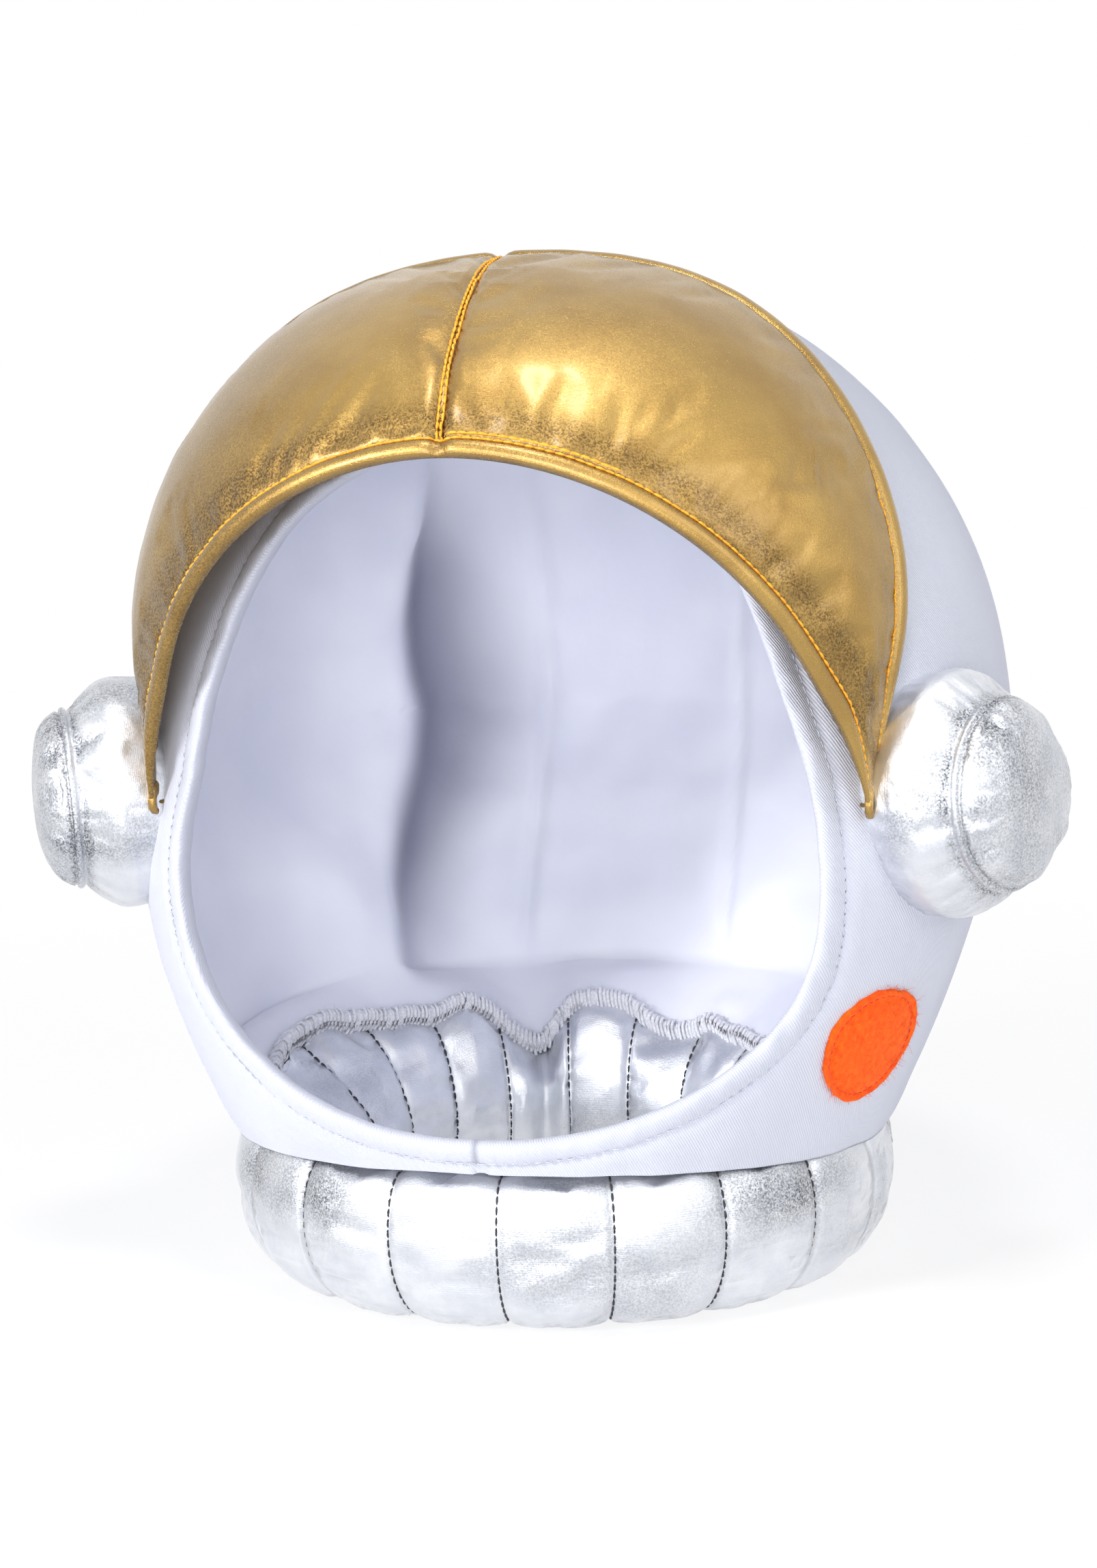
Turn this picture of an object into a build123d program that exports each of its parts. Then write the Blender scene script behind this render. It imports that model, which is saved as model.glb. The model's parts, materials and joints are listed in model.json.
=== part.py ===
from build123d import *
import math
import os

# Padded costume helmet of an astronaut, in millimetres. +Z is up, the face looks along -Y,
# and +X is the wearer's left. The helmet stands on its stuffed neck ring at Z = 0.

# Shell: a laminate of outer cloth, foam and lining in the shape of an egg cut off at the neck
shell_half_width = 146.0
shell_half_depth = 138.0
belt_height = 168.0
crown_height = 325.0
hem_height = 46.0
set_back = 32.0
cloth = 1.2
shell_foam = 6.0
lining_cloth = 1.0
gusset_half_width = 40.0
chin_height = 120.0

# Each row: height between hem and belt, then half width, half depth and set-back of the section
lower_section_shares = (
    (0.0, 0.75, 0.757, 0.0),
    (0.279, 0.856, 0.833, 0.04),
    (0.648, 0.959, 0.949, 0.3),
)
# Each row: quarter turn from belt to crown, then set-back of the section
upper_section_shares = (
    (0.0, 0.84),
    (0.4, 1.0),
    (0.58, 1.0),
    (0.72, 1.0),
    (0.93, 1.0),
)

# Face opening with its turned and topstitched hem
face_half_width = 100.0
face_bottom = 62.0
face_top = 268.0
face_hem_width = 7.0
face_hem_proud = 0.8
face_outline_shares = (
    (0.0, 0.0),
    (0.4, 0.022),
    (0.7, 0.085),
    (0.93, 0.2),
    (1.0, 0.345),
    (0.95, 0.53),
    (0.85, 0.69),
    (0.62, 0.89),
    (0.0, 1.0),
)

# Neck ring: a stuffed tube sewn into channels
ring_middle_radius = 85.5
ring_half_width = 23.5
ring_height = 61.5
ring_flat = 0.5
ring_channels = 19
ring_front_turn = 3.0
ring_valley = 2.6
ring_quilting = 4.2
ring_facing = 1.0
ring_facing_outer_radius = 94.0
serged_radius = 76.0
serged_thickness = 2.6
serged_rise = 7.0

# Ear puffs: stuffed drums that stand square to the shell
ear_height = 160.0
ear_forward = 33.0
ear_root_radius = 30.0
ear_belly_radius = 38.0
ear_belly_rise = 10.0
ear_rim_radius = 35.0
ear_rise = 27.0
ear_crown = 9.0
ear_depth_below = 9.0
ear_bead_radius = 1.4
ear_cloth = 1.2

# Visor: a padded crescent that swings on tacks in front of the ear puffs
hinge_lead = 33.0
hinge_drop = 2.0
visor_front_angle = 29.0
visor_back_angle = -15.0
visor_over_brow = 12.0
visor_over_crown = 6.0
visor_stand_off = 8.3
visor_front_draw_in = 11.0
visor_back_flare = 3.0
visor_tip_radius = 14.0
visor_padding = 8.0
visor_cloth = 1.0
visor_cloth_edge = 3.4
visor_roll = 5.0
visor_glue_line = 0.15
tab_thickness = 3.0
tab_hub_radius = 4.5
tack_radius = 2.0
tack_reach = 12.0
tack_head_radius = 2.6
tack_head_thickness = 0.8

# Each row: half width and reach of the crescent's front and back profile, and how far its
# face has turned from sideways to upright there
visor_front_shares = (
    (1.0, 0.26, 0.06),
    (0.88, 0.51, 0.3),
    (0.52, 0.86, 0.68),
    (0.0, 1.0, 1.0),
)
visor_back_shares = (
    (1.0, 0.3, 0.0),
    (0.95, 0.56, 0.22),
    (0.56, 0.91, 0.7),
    (0.0, 1.0, 1.0),
)
# Places from the front edge to the back edge: edge, roll, stitch line, over the padding and back
visor_station_shares = (0.0, 0.06, 0.14, 0.26, 0.38, 0.5, 0.62, 0.74, 0.86, 0.94, 1.0)

# Felt dot on the wearer's left cheek
dot_radius = 21.5
dot_thickness = 1.6
dot_height = 82.0
dot_forward = 48.0

# Clearances
fit = 0.3
beyond = 60.0

shell_layers = cloth + shell_foam + lining_cloth
ring_centre_height = ring_height / 2 - ring_flat / 2
ring_half_height = ring_height / 2 + ring_flat / 2
far = shell_half_width + set_back + beyond


def shell_sections(inset):
    """Height, half width, half depth and set-back of each section, drawn in by inset."""
    wide = 1 - inset / shell_half_width
    deep = 1 - inset / shell_half_depth
    rows = []
    for rise, width, depth, back in lower_section_shares:
        height = hem_height + (belt_height - hem_height) * rise
        half_depth = shell_half_depth * depth * deep
        rows.append((height, shell_half_width * width * wide, half_depth, set_back * back))
    for turn, back in upper_section_shares:
        angle = math.radians(90 * turn)
        height = belt_height + (crown_height - belt_height - inset) * math.sin(angle)
        reach = math.cos(angle)
        half_depth = shell_half_depth * reach * deep
        rows.append((height, shell_half_width * reach * wide, half_depth, set_back * back))
    return rows


def section_at(height):
    """Half width, half depth and set-back of the shell's outside at a height, between rows."""
    rows = shell_sections(0)
    for low, high in zip(rows, rows[1:]):
        if low[0] <= height <= high[0]:
            share = (height - low[0]) / (high[0] - low[0])
            return tuple(a + (b - a) * share for a, b in zip(low[1:], high[1:]))
    raise ValueError("height lies outside the shell")


def cheek_spot(forward, height):
    """Point on the shell's left side at a place and height, and the level direction it faces."""
    half_width, half_depth, back = section_at(height)
    run = (-forward - back) / half_depth
    side = half_width * math.sqrt(1 - run ** 2)
    facing = Vector(side / half_width ** 2, run / half_depth, 0).normalized()
    return Vector(side, -forward, height), facing


def shell_form(inset):
    """Closed egg of the shell, drawn in by inset, or swollen where inset is negative."""
    with BuildPart() as form:
        for height, half_width, half_depth, back in shell_sections(inset):
            with BuildSketch(Plane((0, back, height), x_dir=(-1, 0, 0))):
                Ellipse(half_width, half_depth)
        loft()
    return form.part


def face_prism(margin):
    """The face opening, widened by margin, as a block from mid helmet out to the front."""
    half_width = face_half_width + margin
    height = face_top - face_bottom + 2 * margin
    points = [(half_width * side, face_bottom - margin + height * rise) for side, rise in face_outline_shares]
    with BuildPart() as block:
        with BuildSketch(Plane.XZ):
            with BuildLine():
                Spline(*points, tangents=((1, 0), (-1, 0)))
                mirror(about=Plane.YZ)
            make_face()
        extrude(amount=far)
    return block.part


def ring_envelope(margin):
    """Plain tube round the fullest part of the neck ring, swollen by margin."""
    with BuildPart() as tube:
        with BuildSketch(Plane.XZ):
            with Locations((ring_middle_radius, ring_centre_height)):
                Ellipse(ring_half_width + margin, ring_half_height + margin)
        revolve(axis=Axis.Z)
    return tube.part


def wearer_left():
    """Half space of the wearer's left."""
    with BuildPart() as block:
        with BuildSketch(Plane.YZ):
            Rectangle(2 * far, 4 * far)
        extrude(amount=far)
    return block.part


def gusset_block():
    """Slab of half the crown gusset, which stops at the face and never reaches the chin."""
    with BuildPart() as block:
        with BuildSketch(Plane.YZ):
            Rectangle(2 * far, 4 * far)
            with Locations((-far / 2, chin_height - far)):
                Rectangle(far, 2 * far, mode=Mode.SUBTRACT)
        extrude(amount=gusset_half_width)
    return block.part


outside = shell_form(0)
under_cloth = shell_form(cloth)
under_foam = shell_form(cloth + shell_foam)
inside = shell_form(shell_layers)
face_cut = face_prism(face_hem_width)
ring_cut = ring_envelope(fit)
left_half = wearer_left()
half_gusset = gusset_block()

# Outer cloth, foam and lining, each in two sides and a crown gusset
pieces = {}
for layer_name, outer_form, inner_form in (
    ("outer", outside, under_cloth),
    ("foam", under_cloth, under_foam),
    ("lining", under_foam, inside),
):
    with BuildPart() as half_layer:
        add(outer_form)
        add(left_half, mode=Mode.INTERSECT)
        add(inner_form, mode=Mode.SUBTRACT)
        add(face_cut, mode=Mode.SUBTRACT)
        add(ring_cut, mode=Mode.SUBTRACT)
    with BuildPart() as left_panel:
        add(half_layer.part)
        add(half_gusset, mode=Mode.SUBTRACT)
    with BuildPart() as right_panel:
        mirror(left_panel.part, about=Plane.YZ)
    with BuildPart() as crown_panel:
        add(half_layer.part)
        add(half_gusset, mode=Mode.INTERSECT)
        mirror(about=Plane.YZ)
    pieces[f"{layer_name}_left"] = left_panel.part
    pieces[f"{layer_name}_right"] = right_panel.part
    pieces[f"{layer_name}_crown"] = crown_panel.part

# Hem of the face opening: the cloth turned round the edge of the foam, butted under the chin
with BuildPart() as face_hem_left:
    add(shell_form(-face_hem_proud))
    add(left_half, mode=Mode.INTERSECT)
    add(shell_form(shell_layers + face_hem_proud), mode=Mode.SUBTRACT)
    add(face_cut, mode=Mode.INTERSECT)
    add(face_prism(0), mode=Mode.SUBTRACT)
    add(ring_cut, mode=Mode.SUBTRACT)
with BuildPart() as face_hem_right:
    mirror(face_hem_left.part, about=Plane.YZ)
pieces["face_hem_left"] = face_hem_left.part
pieces["face_hem_right"] = face_hem_right.part


def ring_section(angle, shrink):
    """Section of the neck ring in the upright plane at an angle round it."""
    turned = Plane.XZ.rotated((0, 0, angle))
    with BuildSketch(turned) as section:
        with Locations((ring_middle_radius, ring_centre_height)):
            Ellipse(ring_half_width - shrink, ring_half_height - shrink)
    return section.sketch


# Quilted cover of the neck ring, in two lengths that meet at stitch lines by the chin and the
# nape, made a channel at a time and flat where it stands
half_channel = 180 / ring_channels
first_channel = ring_front_turn + half_channel - 90
with BuildPart() as ring_channel:
    loft(sections=[
        ring_section(-half_channel, ring_valley),
        ring_section(0, 0),
        ring_section(half_channel, ring_valley),
    ])
with BuildPart() as neck_ring_core:
    with BuildSketch(Plane.XZ):
        with Locations((ring_middle_radius, ring_centre_height)):
            Ellipse(ring_half_width - ring_quilting, ring_half_height - ring_quilting)
    revolve(axis=Axis.Z)
left_channels = math.ceil(ring_channels / 2)
for side_name, channels in {
    "left": range(left_channels),
    "right": range(left_channels, ring_channels),
}.items():
    with BuildPart() as neck_ring_cover:
        with Locations(*[Rotation(0, 0, first_channel + 2 * half_channel * n) for n in channels]):
            add(ring_channel.part)
        add(neck_ring_core.part, mode=Mode.SUBTRACT)
        split(bisect_by=Plane.XY, keep=Keep.TOP)
    pieces[f"neck_ring_cover_{side_name}"] = neck_ring_cover.part
pieces["neck_ring_filling"] = neck_ring_core.part


def ring_top(radius, margin):
    """Height of the ring's upper side at a radius, margin above it."""
    run = (radius - ring_middle_radius) / (ring_half_width + margin)
    return ring_centre_height + (ring_half_height + margin) * math.sqrt(1 - run * run)


# White facing that carries the lining over the ring, and the serged edge that ends it
with BuildPart() as neck_facing:
    add(ring_envelope(fit + ring_facing))
    add(ring_cut, mode=Mode.SUBTRACT)
    with BuildSketch(Plane.XY.offset(ring_centre_height)):
        Circle(ring_facing_outer_radius)
        Circle(serged_radius, mode=Mode.SUBTRACT)
    extrude(amount=ring_height, mode=Mode.INTERSECT)
serged_foot = ring_top(serged_radius - serged_thickness, fit)
with BuildPart() as serged_edge:
    with BuildSketch(Plane.XZ):
        with Locations((serged_radius - serged_thickness / 2, serged_foot + serged_rise / 2)):
            RectangleRounded(serged_thickness - fit, serged_rise, (serged_thickness - fit) / 3)
    revolve(axis=Axis.Z)
    add(ring_cut, mode=Mode.SUBTRACT)
pieces["neck_facing"] = neck_facing.part
pieces["serged_edge"] = serged_edge.part

# Ear puffs: the shell's own slope at the ear gives the direction that the drum points in
ear_root, ear_slope = cheek_spot(ear_forward, ear_height)
ear_axis = Axis(ear_root, ear_slope)
ear_plane = Plane(ear_root, x_dir=(0, 0, 1), z_dir=(-ear_slope.Y, ear_slope.X, 0))


def ear_side(inset):
    """Points up the side of the drum, drawn in by inset, from below the shell to the rim."""
    return (
        (ear_root_radius - inset, -ear_depth_below),
        (ear_root_radius - inset, 0),
        (ear_belly_radius - inset, ear_belly_rise),
        (ear_rim_radius - inset, ear_rise),
    )


def ear_cap_curve(inset):
    """Crowned line over the end of the drum, from its rim to its axis."""
    rim = ear_rim_radius - inset
    crown = ear_crown - inset
    radius = (rim ** 2 + crown ** 2) / (2 * crown)
    half_turn = math.asin(rim / radius) / 2
    middle = (radius * math.sin(half_turn), ear_rise + crown - radius * (1 - math.cos(half_turn)))
    return ThreePointArc((rim, ear_rise), middle, (0, ear_rise + crown))


base_form = shell_form(-ear_cloth)
with BuildPart() as ear_wall_left:
    with BuildSketch(ear_plane):
        with BuildLine():
            wall_outside = Spline(*ear_side(0))
            wall_inside = Spline(*ear_side(ear_cloth))
            Line(wall_outside @ 0, wall_inside @ 0)
            Line(wall_outside @ 1, wall_inside @ 1)
        make_face()
    revolve(axis=ear_axis)
    add(outside, mode=Mode.SUBTRACT)
with BuildPart() as ear_cap_left:
    with BuildSketch(ear_plane):
        with BuildLine():
            cap_outside = ear_cap_curve(0)
            cap_inside = ear_cap_curve(ear_cloth)
            Line(cap_outside @ 0, cap_inside @ 0)
            Line(cap_outside @ 1, cap_inside @ 1)
        make_face()
        with Locations((ear_rim_radius, ear_rise + ear_bead_radius)):
            Circle(ear_bead_radius)
    revolve(axis=ear_axis)
with BuildPart() as ear_filling_left:
    with BuildSketch(ear_plane):
        with BuildLine():
            filling_side = Spline(*ear_side(ear_cloth + fit))
            filling_top = ear_cap_curve(ear_cloth + fit)
            Line(filling_top @ 1, (0, -ear_depth_below))
            Line((0, -ear_depth_below), filling_side @ 0)
        make_face()
    revolve(axis=ear_axis)
    add(base_form, mode=Mode.SUBTRACT)
with BuildPart() as ear_base_left:
    with BuildSketch(Plane(ear_root - ear_slope * ear_depth_below, x_dir=(0, 0, 1), z_dir=ear_slope)):
        Circle(ear_root_radius - 2 * ear_cloth)
    extrude(amount=2 * ear_depth_below)
    add(base_form, mode=Mode.INTERSECT)
    add(outside, mode=Mode.SUBTRACT)
ear_left = {
    "ear_wall": ear_wall_left.part,
    "ear_cap": ear_cap_left.part,
    "ear_filling": ear_filling_left.part,
    "ear_base": ear_base_left.part,
}
for ear_name, ear_piece in ear_left.items():
    with BuildPart() as ear_mirrored:
        mirror(ear_piece, about=Plane.YZ)
    pieces[f"{ear_name}_left"] = ear_piece
    pieces[f"{ear_name}_right"] = ear_mirrored.part

# Felt dot, cut round along the cheek's own slope
dot_middle, dot_slope = cheek_spot(dot_forward, dot_height)
with BuildPart() as felt_dot:
    with BuildSketch(Plane(dot_middle, x_dir=(0, 0, 1), z_dir=dot_slope)):
        Circle(dot_radius)
    extrude(amount=dot_radius, both=True)
    add(shell_form(-dot_thickness), mode=Mode.INTERSECT)
    add(outside, mode=Mode.SUBTRACT)
pieces["felt_dot"] = felt_dot.part


hinge_forward = ear_forward + hinge_lead
hinge_height = ear_height - hinge_drop
visor_tip_half_width = cheek_spot(hinge_forward, hinge_height)[0].X + visor_stand_off
visor_front_half_width = visor_tip_half_width - visor_front_draw_in
visor_back_half_width = visor_tip_half_width + visor_back_flare
visor_front_reach = face_top + visor_over_brow - hinge_height
visor_back_reach = crown_height + visor_over_crown - hinge_height
print("visor tips", visor_tip_half_width, "mm out")


def visor_plane(share):
    """Upright plane through the hinge line, turned forward, at a share from front to back."""
    angle = math.radians(visor_front_angle + (visor_back_angle - visor_front_angle) * share)
    outward = Vector(0, -math.sin(angle), math.cos(angle))
    return Plane((0, -hinge_forward, hinge_height), x_dir=(1, 0, 0), z_dir=Vector(1, 0, 0).cross(outward))


def visor_thickness(share):
    """Padding at a share from front to back: thin at the stitching, a roll outside it, full between."""
    roll, stitched = visor_station_shares[1:3]
    edge = min(share, 1 - share)
    if edge >= stitched:
        rise = math.sin(math.pi / 2 * (edge - stitched) / (0.5 - stitched))
        return visor_cloth_edge + (visor_padding - visor_cloth_edge) * rise
    return visor_roll if math.isclose(edge, roll) else visor_cloth_edge


def visor_curve(share, level):
    """Half profile of the crescent at a share from front to back, level out of its middle."""
    wide_front, wide_back = visor_front_half_width, visor_back_half_width
    points = [(visor_tip_half_width + level * visor_cloth_edge / visor_thickness(share), visor_tip_radius)]
    for front, back in zip(visor_front_shares, visor_back_shares):
        side = wide_front * front[0] * (1 - share) + wide_back * back[0] * share
        reach = visor_front_reach * front[1] * (1 - share) + visor_back_reach * back[1] * share
        turn = math.radians(90 * (front[2] * (1 - share) + back[2] * share))
        points.append((side + level * math.cos(turn), reach + level * math.sin(turn)))
    return points


def visor_half(low_share, high_share, low_cloth, high_cloth):
    """Wearer's left half of one layer, from its lower to its upper level through the padding."""
    with BuildPart() as layer:
        for share in visor_station_shares:
            half = visor_thickness(share) / 2
            high_curve = visor_curve(share, high_share * half + high_cloth)
            low_curve = visor_curve(share, low_share * half + low_cloth)
            with BuildSketch(visor_plane(share)):
                with BuildLine():
                    bow = Spline(*high_curve, tangents=((0, 1), (-1, 0)))
                    belly = Spline(*low_curve, tangents=((0, 1), (-1, 0)))
                    Line(bow @ 0, belly @ 0)
                    Line(bow @ 1, belly @ 1)
                make_face()
        loft(ruled=True)
    return layer.part


for visor_name, span in {
    "visor_panel": (1, 1, -visor_cloth, 0),
    "visor_foam": (-1, 1, visor_cloth + visor_glue_line, -visor_cloth - visor_glue_line),
    "visor_lining": (-1, -1, 0, visor_cloth),
}.items():
    with BuildPart() as visor_left:
        add(visor_half(*span))
    with BuildPart() as visor_right:
        mirror(visor_left.part, about=Plane.YZ)
    pieces[f"{visor_name}_left"] = visor_left.part
    pieces[f"{visor_name}_right"] = visor_right.part

# Flat gathered ends of the crescent, and the bar tacks that they swing on
tab_inner = visor_tip_half_width - tab_thickness / 2
tab_outer = visor_tip_half_width + tab_thickness / 2


def hinge_plane(side):
    """Plane square to the hinge line, side out from the middle of the helmet."""
    return Plane((side, -hinge_forward, hinge_height), x_dir=(0, 1, 0), z_dir=(1, 0, 0))


def tab_corner(angle):
    """Point on the round end of the tab, at an angle forward of upright."""
    reach = visor_tip_radius - fit
    return (-reach * math.sin(math.radians(angle)), reach * math.cos(math.radians(angle)))


with BuildPart() as visor_tab_left:
    with BuildSketch(hinge_plane(tab_inner)):
        with BuildLine():
            Line((0, 0), tab_corner(visor_front_angle))
            ThreePointArc(
                tab_corner(visor_front_angle),
                tab_corner((visor_front_angle + visor_back_angle) / 2),
                tab_corner(visor_back_angle),
            )
            Line(tab_corner(visor_back_angle), (0, 0))
        make_face()
        Circle(tab_hub_radius)
        Circle(tack_radius + fit, mode=Mode.SUBTRACT)
    extrude(amount=tab_thickness)
with BuildPart() as visor_tack_left:
    with BuildSketch(hinge_plane(tab_inner - tack_reach)):
        Circle(tack_radius)
    extrude(amount=tack_reach + tab_thickness + fit)
    with BuildSketch(hinge_plane(tab_outer + fit)):
        Circle(tack_head_radius)
    extrude(amount=tack_head_thickness)
    add(outside, mode=Mode.SUBTRACT)
for end_name, end_piece in {"visor_tab": visor_tab_left.part, "visor_tack": visor_tack_left.part}.items():
    with BuildPart() as end_mirrored:
        mirror(end_piece, about=Plane.YZ)
    pieces[f"{end_name}_left"] = end_piece
    pieces[f"{end_name}_right"] = end_mirrored.part

# The origin lies on the table under the middle of the helmet's length
front = pieces["visor_panel_left"].bounding_box().min.Y
back = pieces["outer_crown"].bounding_box().max.Y
to_middle = Location((0, -(front + back) / 2, 0))
print("neck ring axis at Y", -(front + back) / 2)
print("visor hinge line at Y", -hinge_forward - (front + back) / 2, "Z", hinge_height)

os.makedirs("parts", exist_ok=True)
for piece_name, piece in pieces.items():
    placed = piece.moved(to_middle)
    placed.label = piece_name
    export_step(placed, f"parts/{piece_name}.step")
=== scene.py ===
"""Dresses the padded astronaut costume helmet: its cloth, stuffing, seams, stitches and light."""

import json
import logging
import math
from collections.abc import Callable, Iterable
from dataclasses import dataclass
from enum import Enum
from functools import cached_property

import bmesh
import bpy
import numpy as np
from mathutils import Matrix, Vector, noise

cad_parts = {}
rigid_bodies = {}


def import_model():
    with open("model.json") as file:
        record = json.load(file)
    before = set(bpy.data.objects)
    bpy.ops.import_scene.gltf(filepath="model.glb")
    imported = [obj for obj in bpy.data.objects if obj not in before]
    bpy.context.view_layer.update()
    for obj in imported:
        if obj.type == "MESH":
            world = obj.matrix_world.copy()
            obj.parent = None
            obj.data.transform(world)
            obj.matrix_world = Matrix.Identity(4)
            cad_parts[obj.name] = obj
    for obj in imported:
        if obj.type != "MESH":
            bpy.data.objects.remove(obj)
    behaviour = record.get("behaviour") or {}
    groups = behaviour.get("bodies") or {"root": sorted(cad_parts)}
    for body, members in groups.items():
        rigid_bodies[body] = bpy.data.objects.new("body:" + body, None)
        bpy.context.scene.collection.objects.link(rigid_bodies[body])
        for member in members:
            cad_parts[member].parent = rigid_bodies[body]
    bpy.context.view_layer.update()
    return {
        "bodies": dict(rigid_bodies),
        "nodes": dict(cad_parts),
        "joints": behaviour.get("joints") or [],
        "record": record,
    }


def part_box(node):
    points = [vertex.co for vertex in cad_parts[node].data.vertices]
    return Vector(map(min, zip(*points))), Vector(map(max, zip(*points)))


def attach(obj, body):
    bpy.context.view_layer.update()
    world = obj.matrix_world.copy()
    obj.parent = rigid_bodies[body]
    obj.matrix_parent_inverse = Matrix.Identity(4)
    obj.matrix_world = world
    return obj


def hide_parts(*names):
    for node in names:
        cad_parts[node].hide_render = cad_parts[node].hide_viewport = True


logging.basicConfig(level=logging.INFO, format="%(name)s: %(message)s")
log = logging.getLogger("helmet")

MM = 0.001
# Half the width of the shell's middle panel, which runs from brow to nape
GUSSET = 40 * MM


class Side(Enum):
    """The wearer's two sides, as signs along +X."""

    LEFT = 1
    RIGHT = -1

    @property
    def word(self) -> str:
        """Ending of the names of this side's nodes."""
        return self.name.lower()


class Body(Enum):
    """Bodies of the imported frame."""

    HELMET = "helmet"
    VISOR = "visor"


# Numbers and curves


def smoothstep(low: float, high: float, value: np.ndarray) -> np.ndarray:
    """Eases from 0 to 1.

    Args:
        low: Where the rise starts.
        high: Where it ends.
        value: Places to look at.

    Returns:
        The eased share for each place.
    """
    share = np.clip((np.asarray(value, dtype=float) - low) / (high - low), 0, 1)
    return share * share * (3 - 2 * share)


def hill(value: np.ndarray, middle: float, half_width: float) -> np.ndarray:
    """Round bump of height 1.

    Args:
        value: Places to look at.
        middle: Place of the top.
        half_width: Distance at which it has fallen to about a third.

    Returns:
        The bump's height for each place.
    """
    return np.exp(-(((np.asarray(value) - middle) / half_width) ** 2))


def clamped_curve(points: np.ndarray, start: np.ndarray, end: np.ndarray, at: np.ndarray) -> np.ndarray:
    """Smooth curve through points, with its direction given at both ends.

    Args:
        points: Rows of coordinates.
        start: Direction of length 1 at the first point.
        end: Direction of length 1 at the last point.
        at: Shares of the curve's length, from 0 to 1.

    Returns:
        A row of coordinates for each share.
    """
    points = np.asarray(points, dtype=float)
    knots = along(points)
    gaps = np.diff(knots)
    count = len(points)
    left = np.zeros((count, count))
    right = np.zeros_like(points)
    left[0, 0] = left[-1, -1] = 1
    right[0], right[-1] = start, end
    for i in range(1, count - 1):
        left[i, i - 1:i + 2] = gaps[i], 2 * (gaps[i - 1] + gaps[i]), gaps[i - 1]
        before = (points[i] - points[i - 1]) / gaps[i - 1]
        after = (points[i + 1] - points[i]) / gaps[i]
        right[i] = 3 * (gaps[i] * before + gaps[i - 1] * after)
    slopes = np.linalg.solve(left, right)
    place = np.clip(at, 0, 1) * knots[-1]
    row = np.clip(np.searchsorted(knots, place, side="right") - 1, 0, count - 2)
    gap = gaps[row][:, None]
    t = ((place - knots[row]) / gaps[row])[:, None]
    return (
        (2 * t ** 3 - 3 * t ** 2 + 1) * points[row]
        + (t ** 3 - 2 * t ** 2 + t) * gap * slopes[row]
        + (3 * t ** 2 - 2 * t ** 3) * points[row + 1]
        + (t ** 3 - t ** 2) * gap * slopes[row + 1]
    )


def along(points: np.ndarray) -> np.ndarray:
    """Distance run at each point of a line.

    Args:
        points: Rows of coordinates, in order.

    Returns:
        Distances from the first point, in metres.
    """
    return np.concatenate([[0], np.cumsum(np.linalg.norm(np.diff(points, axis=0), axis=1))])


def unit(vectors: np.ndarray) -> np.ndarray:
    """Vectors brought to length 1.

    Args:
        vectors: Array whose last axis holds coordinates.

    Returns:
        The same directions with length 1.
    """
    return vectors / np.maximum(np.linalg.norm(vectors, axis=-1, keepdims=True), 1e-12)


def cloud(points: np.ndarray, size: float, seed: float) -> np.ndarray:
    """Soft three-dimensional noise that stays the same in each run.

    Args:
        points: Array whose last axis holds coordinates.
        size: Width of a lump, in metres.
        seed: Shift that picks another cloud.

    Returns:
        Values between about -1 and 1, one for each point.
    """
    flat = points.reshape(-1, 3) / size + seed
    values = [noise.noise(Vector(p)) for p in flat]
    return np.array(values).reshape(points.shape[:-1])


def circle(count: int) -> np.ndarray:
    """Even angles round a full turn.

    Args:
        count: How many.

    Returns:
        Angles in radians, from 0.
    """
    return np.arange(count) / count * 2 * math.pi


def half_turns(degrees: np.ndarray) -> np.ndarray:
    """Brings angles between -180 and 180 degrees.

    Args:
        degrees: Angles in degrees.

    Returns:
        The same directions in that range.
    """
    return (degrees + 180) % 360 - 180


def sample(rows: np.ndarray, places: np.ndarray, at: np.ndarray) -> np.ndarray:
    """Reads rows of coordinates at places between them.

    Args:
        rows: Rows of coordinates.
        places: Place of each row, rising.
        at: Places to read.

    Returns:
        A row for each place read.
    """
    return np.stack([np.interp(at, places, rows[:, k]) for k in range(3)], axis=1)


def along_rows(grid: np.ndarray) -> np.ndarray:
    """Distance run along each row of a grid.

    Args:
        grid: Points as (u, v, 3).

    Returns:
        Distances from each row's first point, in metres.
    """
    steps = np.linalg.norm(np.diff(grid, axis=1), axis=2).cumsum(axis=1)
    return np.concatenate([np.zeros((len(grid), 1)), steps], axis=1)


def grid_normals(grid: np.ndarray, inside: np.ndarray, wrap_u: bool = False) -> np.ndarray:
    """Outward directions of a grid of points.

    Args:
        grid: Points as (u, v, 3).
        inside: A point that they face away from.
        wrap_u: Whether the grid closes along u.

    Returns:
        Directions of length 1, as (u, v, 3).
    """
    if wrap_u:
        run_u = np.roll(grid, -1, axis=0) - np.roll(grid, 1, axis=0)
    else:
        run_u = np.gradient(grid, axis=0)
    out = unit(np.cross(run_u, np.gradient(grid, axis=1)))
    return out if (out * (grid - inside)).sum() > 0 else -out


# Meshes


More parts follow.
